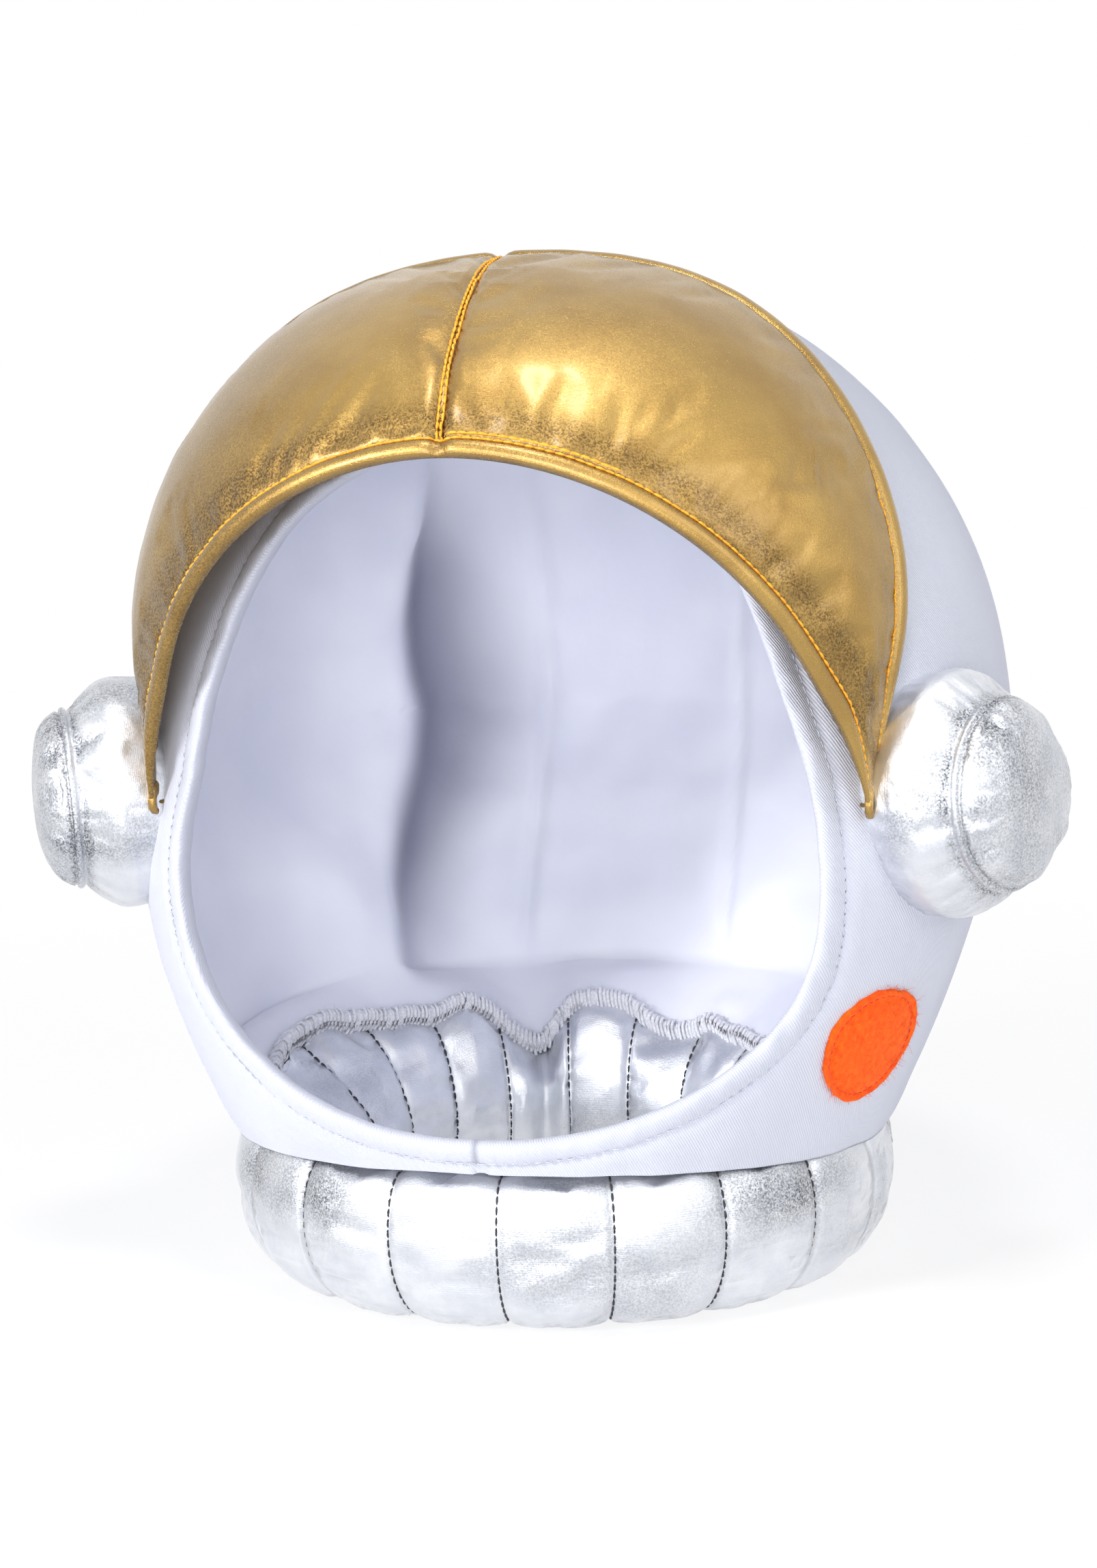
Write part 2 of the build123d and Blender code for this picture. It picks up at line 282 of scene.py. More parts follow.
class Cloth:
    """Collects grids, tubes and loose faces into one mesh."""

    def __init__(self) -> None:
        """Starts with nothing."""
        self.points: list[np.ndarray] = []
        self.painted_shade: list[np.ndarray] = []
        self.faces: list[tuple[int, ...]] = []
        self.corners: list[tuple[float, float]] = []
        self.count = 0

    def grid(self, grid: np.ndarray, wrap_u: bool = False, wrap_v: bool = False,
             chart: np.ndarray | None = None, painted_shade: np.ndarray | None = None) -> None:
        """Adds a grid of four-cornered faces.

        Args:
            grid: Points as (u, v, 3).
            wrap_u: Whether it closes along u.
            wrap_v: Whether it closes along v.
            chart: Flat cloth coordinates for each point as (u, v, 2), in metres.
            painted_shade: Share of painted shade and painted dark reflection at each point as (u, v), which
                the finish shows.
        """
        rows, columns = grid.shape[:2]
        first = self.count
        self.points.append(grid.reshape(-1, 3))
        self.painted_shade.append(np.zeros(rows * columns) if painted_shade is None else painted_shade.ravel())
        self.count += rows * columns
        for i in range(rows if wrap_u else rows - 1):
            for j in range(columns if wrap_v else columns - 1):
                cells = [(i, j), (i + 1, j), (i + 1, j + 1), (i, j + 1)]
                self.faces.append(tuple(first + (a % rows) * columns + b % columns for a, b in cells))
                if chart is None:
                    self.corners.extend([(0.0, 0.0)] * 4)
                else:
                    self.corners.extend(self._chart_corners(chart, cells))

    @staticmethod
    def _chart_corners(chart: np.ndarray, cells: list[tuple[int, int]]) -> list[tuple[float, float]]:
        """Chart coordinates of one face, run on past the grid's closing edge.

        Args:
            chart: Flat coordinates as (u, v, 2).
            cells: Grid places of the face's corners.

        Returns:
            One pair for each corner.
        """
        rows, columns = chart.shape[:2]
        corners = []
        for a, b in cells:
            spot = chart[a % rows, b % columns].copy()
            if a >= rows:
                spot += chart[-1, b % columns] + (chart[-1, b % columns] - chart[-2, b % columns])
                spot -= chart[0, b % columns]
            if b >= columns:
                spot += chart[a % rows, -1] + (chart[a % rows, -1] - chart[a % rows, -2])
                spot -= chart[a % rows, 0]
            corners.append((float(spot[0]), float(spot[1])))
        return corners

    def close(self, points: Iterable[int]) -> None:
        """Adds one face over an open end.

        Args:
            points: Numbers of the points round it.
        """
        face = tuple(points)
        self.faces.append(face)
        self.corners.extend([(0.0, 0.0)] * len(face))

    def tube(self, line: np.ndarray, radius: float | np.ndarray, sides: int = 5,
             closed: bool = False) -> None:
        """Adds a thread that follows a line.

        Args:
            line: Points of the line.
            radius: Thickness in metres, one value or one for each point.
            sides: Corners of its section.
            closed: Whether the line is a ring.
        """
        radius = np.broadcast_to(np.asarray(radius, dtype=float), (len(line),))
        if closed:
            run = unit(np.roll(line, -1, axis=0) - np.roll(line, 1, axis=0))
        else:
            run = unit(np.gradient(line, axis=0))
        side = np.cross(run, np.array([0.0, 0.0, 1.0]))
        # A thread that stands upright takes its side from another axis
        weak = np.linalg.norm(side, axis=1) < 0.2
        side[weak] = np.cross(run[weak], np.array([1.0, 0.0, 0.0]))
        side = unit(side)
        lift = np.cross(run, side)
        turns = circle(sides)
        ring = np.cos(turns)[None, :, None] * side[:, None] + np.sin(turns)[None, :, None] * lift[:, None]
        self.grid(line[:, None] + ring * radius[:, None, None], wrap_u=closed, wrap_v=True)

    def fibre(self, root: np.ndarray, run: np.ndarray, bend: np.ndarray, radii: tuple[float, float]) -> None:
        """Adds a loose fibre that bends aside.

        Args:
            root: Where it starts.
            run: Its direction and length.
            bend: How far its end is bent aside.
            radii: Its radius at the root and at the end, in millimetres.
        """
        t = np.linspace(0, 1, 4)[:, None]
        self.tube(root + run * t + bend * t ** 2, np.linspace(*radii, 4) * MM, sides=3)

    def build(self, name: str, closed: bool = False) -> bpy.types.Object:
        """Makes the Blender object.

        Args:
            name: Name of the piece.
            closed: Whether it is a closed form, whose faces are then turned outwards.

        Returns:
            The smooth-shaded object.
        """
        mesh = bpy.data.meshes.new(name)
        mesh.from_pydata(np.concatenate(self.points).tolist(), [], self.faces)
        layer = mesh.uv_layers.new(name="cloth")
        layer.data.foreach_set("uv", np.array(self.corners, dtype=np.float32).ravel())
        # Painted shade and painted dark reflection, kept as a point attribute for the finishes
        painted_shade = np.concatenate(self.painted_shade).astype(np.float32)
        if painted_shade.any():
            mesh.attributes.new("painted_shade", "FLOAT", "POINT").data.foreach_set("value", painted_shade)
        mesh.shade_smooth()
        mesh.update()
        if closed:
            work = bmesh.new()
            work.from_mesh(mesh)
            bmesh.ops.recalc_face_normals(work, faces=work.faces)
            work.to_mesh(mesh)
            work.free()
        piece = bpy.data.objects.new(name, mesh)
        bpy.context.scene.collection.objects.link(piece)
        return piece


def flat(u: np.ndarray, v: np.ndarray) -> np.ndarray:
    """Flat cloth coordinates of a grid.

    Args:
        u: Place of each row along the cloth, in metres.
        v: Place of each column across it, in metres.

    Returns:
        Pairs as (u, v, 2).
    """
    return np.stack(np.broadcast_arrays(u[:, None], v[None]), axis=-1)


def points_of(mesh: bpy.types.Mesh) -> np.ndarray:
    """Places of a mesh's points.

    Args:
        mesh: Mesh to read.

    Returns:
        Rows of coordinates.
    """
    points = np.empty(len(mesh.vertices) * 3)
    mesh.vertices.foreach_get("co", points)
    return points.reshape(-1, 3)


def give_chart(piece: bpy.types.Object, chart_of: Callable) -> None:
    """Writes flat cloth coordinates worked out face by face.

    Args:
        piece: Piece that gets them.
        chart_of: Function of (corner, face middle) that returns a pair in metres.
    """
    mesh = piece.data
    layer = mesh.uv_layers[0]
    for face in mesh.polygons:
        for loop in face.loop_indices:
            spot = mesh.vertices[mesh.loops[loop].vertex_index].co
            layer.data[loop].uv = chart_of(spot, face.center)


def dress(piece: bpy.types.Object, finish: "Finish", body: Body) -> None:
    """Gives a piece its material and the body it rides on.

    Args:
        piece: Piece to dress.
        finish: What it is made of.
        body: Body that carries it.
    """
    piece.data.materials.clear()
    piece.data.materials.append(finish.material())
    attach(piece, body.value)
    log.info("%s: %d faces, on %s", piece.name, len(piece.data.polygons), body.value)


@dataclass(frozen=True)
class Stuffing:
    """How hard the filling presses the cloth out, and how much cloth there is to spare.

    The cloth is a light, firm one that shears more easily than it stretches. Gravity is left out, as
    the filling carries the cloth.
    """

    pressure: float
    spare_cloth: float
    reach: float
    bending: float = 0.3
    frames: int = 20

    def press(self, piece: bpy.types.Object, sewn: np.ndarray) -> None:
        """Runs the cloth and keeps its result in the mesh.

        Args:
            piece: Closed cloth piece.
            sewn: Share, from 0 to 1, by which a seam holds each point.
        """
        mesh = piece.data
        before = points_of(mesh)
        group = piece.vertex_groups.new(name="sewn")
        shares = np.round(sewn, 2)
        for share in np.unique(shares):
            group.add(np.nonzero(shares == share)[0].tolist(), float(share), "REPLACE")
        cloth = piece.modifiers.new("stuffing", "CLOTH")
        settings = {
            "quality": 5, "mass": 0.15, "tension_stiffness": 20, "compression_stiffness": 20,
            "shear_stiffness": 8, "bending_stiffness": self.bending, "use_pressure": True,
            "uniform_pressure_force": self.pressure, "vertex_group_mass": group.name,
            "shrink_min": -self.spare_cloth,
        }
        for key, value in settings.items():
            setattr(cloth.settings, key, value)
        cloth.settings.effector_weights.gravity = 0
        cloth.collision_settings.use_collision = False
        cloth.point_cache.frame_start = 1
        cloth.point_cache.frame_end = self.frames
        scene = bpy.context.scene
        for frame in range(1, self.frames + 1):
            scene.frame_set(frame)
        pressed = piece.evaluated_get(bpy.context.evaluated_depsgraph_get()).to_mesh()
        move = points_of(pressed) - before
        piece.to_mesh_clear()
        far = np.linalg.norm(move, axis=1, keepdims=True)
        move *= np.minimum(1, self.reach / np.maximum(far, 1e-9))
        piece.modifiers.remove(cloth)
        piece.vertex_groups.remove(group)
        scene.frame_set(1)
        mesh.vertices.foreach_set("co", (before + move).ravel())
        mesh.update()
        log.info("%s: stuffed, moved up to %.1f mm", piece.name, far.max() / MM)


# Materials


def linear(hex_colour: str) -> tuple[float, float, float, float]:
    """Turns an sRGB colour into the linear values that shaders use.

    Args:
        hex_colour: Colour such as "#c8c8c8".

    Returns:
        Red, green, blue and 1.
    """
    values = [int(hex_colour[i:i + 2], 16) / 255 for i in (1, 3, 5)]
    red, green, blue = (v / 12.92 if v <= 0.04045 else ((v + 0.055) / 1.055) ** 2.4 for v in values)
    return (red, green, blue, 1.0)


class Nodes:
    """A material's node tree, with short calls to add to it."""

    def __init__(self, name: str, world: bool = False) -> None:
        """Makes the material, or the surroundings.

        Args:
            name: Name of the real material.
            world: Whether it is for the surroundings, whose tree starts empty.
        """
        self.made = bpy.data.worlds.new(name) if world else bpy.data.materials.new(name)
        self.made.use_nodes = True
        self.tree = self.made.node_tree
        self.shader = self.tree.nodes.get("Principled BSDF")
        if world:
            self.tree.nodes.clear()

    def add(self, kind: str, inputs: dict | None = None, **settings) -> bpy.types.Node:
        """Adds a node, sets it up and links it.

        Args:
            kind: Type name of the node.
            inputs: Values or output sockets by the name or number of the input.
            **settings: Properties of the node.

        Returns:
            The new node.
        """
        node = self.tree.nodes.new(kind)
        for key, value in settings.items():
            setattr(node, key, value)
        for key, value in (inputs or {}).items():
            self.plug(node.inputs[key], value)
        return node

    def plug(self, socket: bpy.types.NodeSocket, value) -> None:
        """Sets a socket, or links it if the value is another socket.

        Args:
            socket: Input to set.
            value: Number, colour or output socket.
        """
        if isinstance(value, bpy.types.NodeSocket):
            self.tree.links.new(value, socket)
        else:
            socket.default_value = value

    def sum(self, operation: str, *values) -> bpy.types.NodeSocket:
        """Adds a sum of numbers.

        Args:
            operation: Name such as "MULTIPLY".
            *values: Numbers or sockets.

        Returns:
            The result's socket.
        """
        node = self.add("ShaderNodeMath", operation=operation)
        for socket, value in zip(node.inputs, values):
            self.plug(socket, value)
        return node.outputs[0]

    def noise(self, place: bpy.types.NodeSocket, size: float, detail: float = 2.0,
              rough: float = 0.5) -> bpy.types.NodeSocket:
        """Adds a cloud pattern.

        Args:
            place: Coordinates in metres.
            size: Width of a lump, in metres.
            detail: Finer layers added to it.
            rough: Share of the finer layers.

        Returns:
            Its value between 0 and 1.
        """
        return self.add(
            "ShaderNodeTexNoise",
            {"Vector": place, "Scale": 1 / size, "Detail": detail, "Roughness": rough},
        ).outputs["Fac"]

    def spread(self, value, low: float, high: float, to_low: float, to_high: float) -> bpy.types.NodeSocket:
        """Maps one range of numbers to another.

        Args:
            value: Socket to read.
            low: Start of the range read.
            high: End of the range read.
            to_low: Result at low.
            to_high: Result at high.

        Returns:
            The mapped value.
        """
        return self.add(
            "ShaderNodeMapRange",
            {"Value": value, "From Min": low, "From Max": high, "To Min": to_low, "To Max": to_high},
        ).outputs["Result"]

    def blend(self, share, first: tuple, second: tuple) -> bpy.types.NodeSocket:
        """Mixes two colours.

        Args:
            share: Socket, 0 for the first colour and 1 for the second.
            first: Linear colour.
            second: Linear colour.

        Returns:
            The mixed colour.
        """
        node = self.add("ShaderNodeMix", data_type="RGBA")
        self.plug(node.inputs["Factor"], share)
        self.plug(node.inputs["A"], first)
        self.plug(node.inputs["B"], second)
        return node.outputs["Result"]

    def bump(self, height, depth: float, strength: float = 1.0, before=None) -> bpy.types.NodeSocket:
        """Adds relief.

        Args:
            height: Socket with the relief, 0 to 1.
            depth: Real height of 1, in metres.
            strength: Share that shows.
            before: Relief that lies under it.

        Returns:
            The bent normal.
        """
        inputs = {"Height": height, "Distance": depth, "Strength": strength}
        if before is not None:
            inputs["Normal"] = before
        return self.add("ShaderNodeBump", inputs).outputs["Normal"]

    def mottle(self, pattern: bpy.types.NodeSocket, shade: str, colour: str, low: float = 0.35,
               high: float = 0.65) -> bpy.types.NodeSocket:
        """Mixes a darker and a lighter colour by a pattern.

        Args:
            pattern: The pattern's socket.
            shade: Darker colour, where the pattern is low.
            colour: Lighter colour, where it is high.
            low: Value of the pattern at which it is all shade.
            high: Value at which it is all colour.

        Returns:
            The mixed colour.
        """
        return self.blend(self.spread(pattern, low, high, 0, 1), linear(shade), linear(colour))

    def surface(self, inputs: dict) -> None:
        """Sets the surface shader.

        Args:
            inputs: Values or output sockets by the name of the input.
        """
        for key, value in inputs.items():
            self.plug(self.shader.inputs[key], value)

    def painted_shade_share(self) -> bpy.types.NodeSocket:
        """Share of painted shade and painted dark reflection that the cloth's points carry."""
        return self.add("ShaderNodeAttribute", attribute_name="painted_shade").outputs["Fac"]

    def chart(self) -> bpy.types.NodeSocket:
        """Flat cloth coordinates, in metres."""
        return self.add("ShaderNodeUVMap", uv_map="cloth").outputs["UV"]

    def place(self) -> bpy.types.NodeSocket:
        """Object coordinates, in metres."""
        return self.add("ShaderNodeTexCoord").outputs["Object"]

    def lines(self, chart: bpy.types.NodeSocket, pitch: float, turn: float) -> bpy.types.NodeSocket:
        """Adds even ribs across the cloth.

        Args:
            chart: Flat cloth coordinates.
            pitch: Distance between ribs, in metres.
            turn: Angle of the ribs in degrees.

        Returns:
            Their height between 0 and 1.
        """
        angle = math.radians(turn)
        parts = self.add("ShaderNodeSeparateXYZ", {0: chart})
        across = self.sum("ADD", self.sum("MULTIPLY", parts.outputs["X"], math.cos(angle) / pitch),
                          self.sum("MULTIPLY", parts.outputs["Y"], math.sin(angle) / pitch))
        wave = self.sum("SINE", self.sum("MULTIPLY", across, 2 * math.pi))
        return self.spread(wave, -1, 1, 0, 1)


class Finish:
    """A real material that is built once and shared."""

    _made: dict = {}
    name: str

    def material(self) -> bpy.types.Material:
        """The Blender material, built when it is first asked for.

        Returns:
            The material.
        """
        if self not in Finish._made:
            nodes = Nodes(self.name)
            self.paint(nodes)
            Finish._made[self] = nodes.made
        return Finish._made[self]

    def paint(self, nodes: Nodes) -> None:
        """Sets up the shader.

        Args:
            nodes: The material's node tree.
        """
        raise NotImplementedError


@dataclass(frozen=True)
class WhiteTwill(Finish):
    """Matt polyester twill with fine diagonal ribs, lightly creased over its foam."""

    name: str = "white polyester twill"
    colour: str = "#d1d3de"
    shade: str = "#c4c6d3"
    # Colour of the painted shade in the seams' creases
    seam: str = "#71737f"
    rib: float = 0.85 * MM
    rib_turn: float = 38.0

    def paint(self, nodes: Nodes) -> None:
        """Sets up the shader.

        Args:
            nodes: The material's node tree.
        """
        chart, place = nodes.chart(), nodes.place()
        # Broad tint, as foam shows through a thin cloth
        tint = nodes.noise(place, 60 * MM, 3)
        ribs = nodes.lines(chart, self.rib, self.rib_turn)
        yarn = nodes.noise(chart, 0.9 * MM, 2)
        share = nodes.sum("ADD", nodes.sum("MULTIPLY", tint, 0.5), nodes.sum("MULTIPLY", ribs, 0.22))
        # The seams' creases get a little painted shade
        painted_seam_shade = nodes.painted_shade_share()
        twill = nodes.mottle(share, self.shade, self.colour, 0.2, 0.62)
        nodes.surface({
            "Base Color": nodes.blend(painted_seam_shade, twill, linear(self.seam)),
            "Roughness": nodes.spread(yarn, 0.3, 0.7, 0.62, 0.8),
            "Sheen Weight": 0.25,
            "Sheen Roughness": 0.4,
        })
        # Creases catch the light first, then ribs and yarn
        creased = nodes.bump(nodes.noise(place, 22 * MM, 3), 1.2 * MM, 0.5)
        ribbed = nodes.bump(ribs, 0.14 * MM, 0.9, creased)
        nodes.surface({"Normal": nodes.bump(yarn, 0.06 * MM, 0.6, ribbed)})


@dataclass(frozen=True)
class SatinLining(Finish):
    """Thin white lining satin with a soft sheen."""

    name: str = "white lining satin"
    colour: str = "#f3f4fc"
    shade: str = "#e8eaf6"
    # Colour of the painted shadow beside the long fold and under the crown
    painted_shadow: str = "#8a8c9e"

    def paint(self, nodes: Nodes) -> None:
        """Sets up the shader.

        Args:
            nodes: The material's node tree.
        """
        chart, place = nodes.chart(), nodes.place()
        tint = nodes.noise(place, 50 * MM, 2)
        # Painted shadow: beside the long fold and under the crown the satin is painted darker, and elsewhere
        # it keeps its own mottled white
        in_painted_shadow = nodes.painted_shade_share()
        satin = nodes.mottle(tint, self.shade, self.colour)
        nodes.surface({"Base Color": nodes.blend(in_painted_shadow, satin, linear(self.painted_shadow))})
        yarn = nodes.noise(chart, 0.7 * MM, 2)
        nodes.surface({
            "Roughness": nodes.spread(yarn, 0.3, 0.7, 0.46, 0.6),
            "Sheen Weight": 0.3,
            "Sheen Roughness": 0.3,
            "Specular IOR Level": 0.4,
        })
        # Slack cloth ripples over the foam, and the yarn breaks the sheen
        ripple = nodes.bump(nodes.noise(place, 30 * MM, 3), 2.2 * MM, 0.7)
        nodes.surface({"Normal": nodes.bump(yarn, 0.05 * MM, 0.5, ripple)})


@dataclass(frozen=True)
class FoilKnit(Finish):
    """Knit with a rolled-on metal foil: mirror-like specks over a soft metallic ground."""

    name: str
    colour: str
    # Ground colour in the tucks' hollows, as painted shade
    deep: str
    # Dark colour for the painted shade and painted dark reflections, and for the random patches
    shade_colour: str
    roughness: float = 0.34
    crease: float = 10 * MM
    patch: float = 45 * MM
    patchiness: float = 0.35
    lacquer: float = 0.3
    relief: float = 0.3

    def paint(self, nodes: Nodes) -> None:
        """Sets up the shader.

        Args:
            nodes: The material's node tree.
        """
        chart, place = nodes.chart(), nodes.place()
        speck = nodes.noise(place, 0.7 * MM, 4, 0.75)
        wear = nodes.noise(place, self.patch, 2, 0.45)
        tuck = nodes.noise(place, self.crease, 3, 0.55)
        # The foil is darker in soft random patches and where the points carry painted shade and painted dark
        # reflections, and there it breaks into specks
        seam = nodes.painted_shade_share()
        painted_shade = nodes.sum("ADD", nodes.spread(wear, 0.5, 0.68, 0, self.patchiness), seam)
        grain = nodes.spread(speck, 0.38, 0.6, 0, 1)
        dark = nodes.sum("MULTIPLY", nodes.sum("MINIMUM", painted_shade, 1.0), nodes.sum("SUBTRACT", 1.15, grain))
        # The ground is painted a little darker in the tucks' hollows: painted shade
        ground = nodes.mottle(tuck, self.deep, self.colour)
        nodes.surface({
            "Base Color": nodes.blend(nodes.sum("MINIMUM", dark, 1.0), ground, linear(self.shade_colour)),
            "Metallic": 0.9,
            # The clear layer over the foil takes the lamp's own white
            "Coat Weight": self.lacquer,
            "Coat Roughness": 0.24,
            "Roughness": nodes.spread(speck, 0.25, 0.75, self.roughness - 0.08, self.roughness + 0.14),
        })
        # Small tucks between stitches, then the foil's own fine cracks and the knit's courses
        tucked = nodes.bump(tuck, 0.9 * MM, self.relief)
        courses = nodes.bump(nodes.lines(chart, 0.6 * MM, 90), 0.04 * MM, 0.35, tucked)
        nodes.surface({"Normal": nodes.bump(speck, 0.2 * MM, 0.7, courses)})


@dataclass(frozen=True)
class CraftFelt(Finish):
    """Pressed craft felt with a matted, fibrous face."""

    name: str = "orange craft felt"
    colour: str = "#ff6a1c"
    shade: str = "#ef4a0c"
    sheen: str = "#ffb070"

    def paint(self, nodes: Nodes) -> None:
        """Sets up the shader.

        Args:
            nodes: The material's node tree.
        """
        place = nodes.place()
        mat = nodes.noise(place, 2.2 * MM, 5, 0.7)
        lump = nodes.noise(place, 6 * MM, 3)
        nodes.surface({
            "Base Color": nodes.mottle(mat, self.shade, self.colour),
            "Roughness": nodes.spread(mat, 0.3, 0.7, 0.85, 1.0),
            "Specular IOR Level": 0.15,
            "Sheen Weight": 0.3,
            "Sheen Tint": linear(self.sheen),
        })
        lumpy = nodes.bump(lump, 0.6 * MM, 0.6)
        nodes.surface({"Normal": nodes.bump(mat, 0.4 * MM, 0.8, lumpy)})


@dataclass(frozen=True)
class Thread(Finish):
    """Spun polyester thread."""

    name: str
    colour: str
    shade: str
    roughness: float = 0.55

    def paint(self, nodes: Nodes) -> None:
        """Sets up the shader.

        Args:
            nodes: The material's node tree.
        """
        twist = nodes.noise(nodes.place(), 0.8 * MM, 2)
        nodes.surface({
            "Base Color": nodes.mottle(twist, self.shade, self.colour),
            "Roughness": nodes.spread(twist, 0.3, 0.7, self.roughness, self.roughness + 0.2),
            "Normal": nodes.bump(twist, 0.1 * MM, 0.5),
        })


def seen_or_mirrored(nodes: Nodes) -> bpy.types.NodeSocket:
    """Share of 1 where the camera looks straight at something, into a gloss or through something clear.

    Args:
        nodes: Node tree that gets it.

    Returns:
        The share's socket.
    """
    rays = nodes.add("ShaderNodeLightPath")
    direct = nodes.sum("MAXIMUM", rays.outputs["Is Camera Ray"], rays.outputs["Is Glossy Ray"])
    return nodes.sum("MAXIMUM", direct, rays.outputs["Is Transmission Ray"])


@dataclass(frozen=True)
class StudioPaper(Finish):
    """Pale seamless paper under the helmet."""

    name: str = "white studio paper"
    colour: str = "#fbfbfc"
    glow: float = 0.78

    def paint(self, nodes: Nodes) -> None:
        """Sets up the shader.

        Args:
            nodes: The material's node tree.
        """
        grain = nodes.noise(nodes.place(), 2 * MM, 3)
        nodes.surface({
            "Base Color": linear(self.colour),
            "Roughness": nodes.spread(grain, 0.3, 0.7, 0.85, 0.95),
            "Specular IOR Level": 0.0,
        })
        # Seen directly or mirrored the sheet runs into the white background, and keeps its shadow
        glow = nodes.add("ShaderNodeEmission", {"Color": (1, 1, 1, 1), "Strength": 1.0})
        away = nodes.add("ShaderNodeVectorMath", {0: nodes.place()}, operation="LENGTH").outputs["Value"]
        share = nodes.sum("MULTIPLY", seen_or_mirrored(nodes), nodes.spread(away, 0.2, 0.75, self.glow, 1))
        mix = nodes.add("ShaderNodeMixShader", {"Fac": share, 1: nodes.shader.outputs[0], 2: glow.outputs[0]})
        nodes.plug(nodes.tree.nodes["Material Output"].inputs["Surface"], mix.outputs[0])


TWILL = WhiteTwill()
SATIN = SatinLining()
SILVER = FoilKnit("silver foil knit", "#e9ebf0", "#dcdfe6", "#54575e")
GOLD = FoilKnit("gold foil knit", "#b59350", "#a68446", "#553c18", roughness=0.24, crease=20 * MM,
                patch=70 * MM, patchiness=0.06, lacquer=0.45, relief=0.1)
FELT = CraftFelt()
RING_THREAD = Thread("charcoal thread", "#3f4046", "#26272c")
GOLD_THREAD = Thread("golden orange thread", "#ffc23c", "#e8981e")
WHITE_THREAD = Thread("white thread", "#cfd2de", "#b6b9c6")
FELT_THREAD = Thread("red orange thread", "#f0561c", "#d8420e")
# Coloured like the shade between the visor's tips and the shell, so the tacks read as that shade: painted
# shade
TACK_THREAD = Thread("shade toned thread", "#7a6332", "#5c4a25")
SERGING = Thread("woolly overlock yarn", "#f6f6fb", "#dedfe8", roughness=0.85)
PAPER = StudioPaper()


# Forms


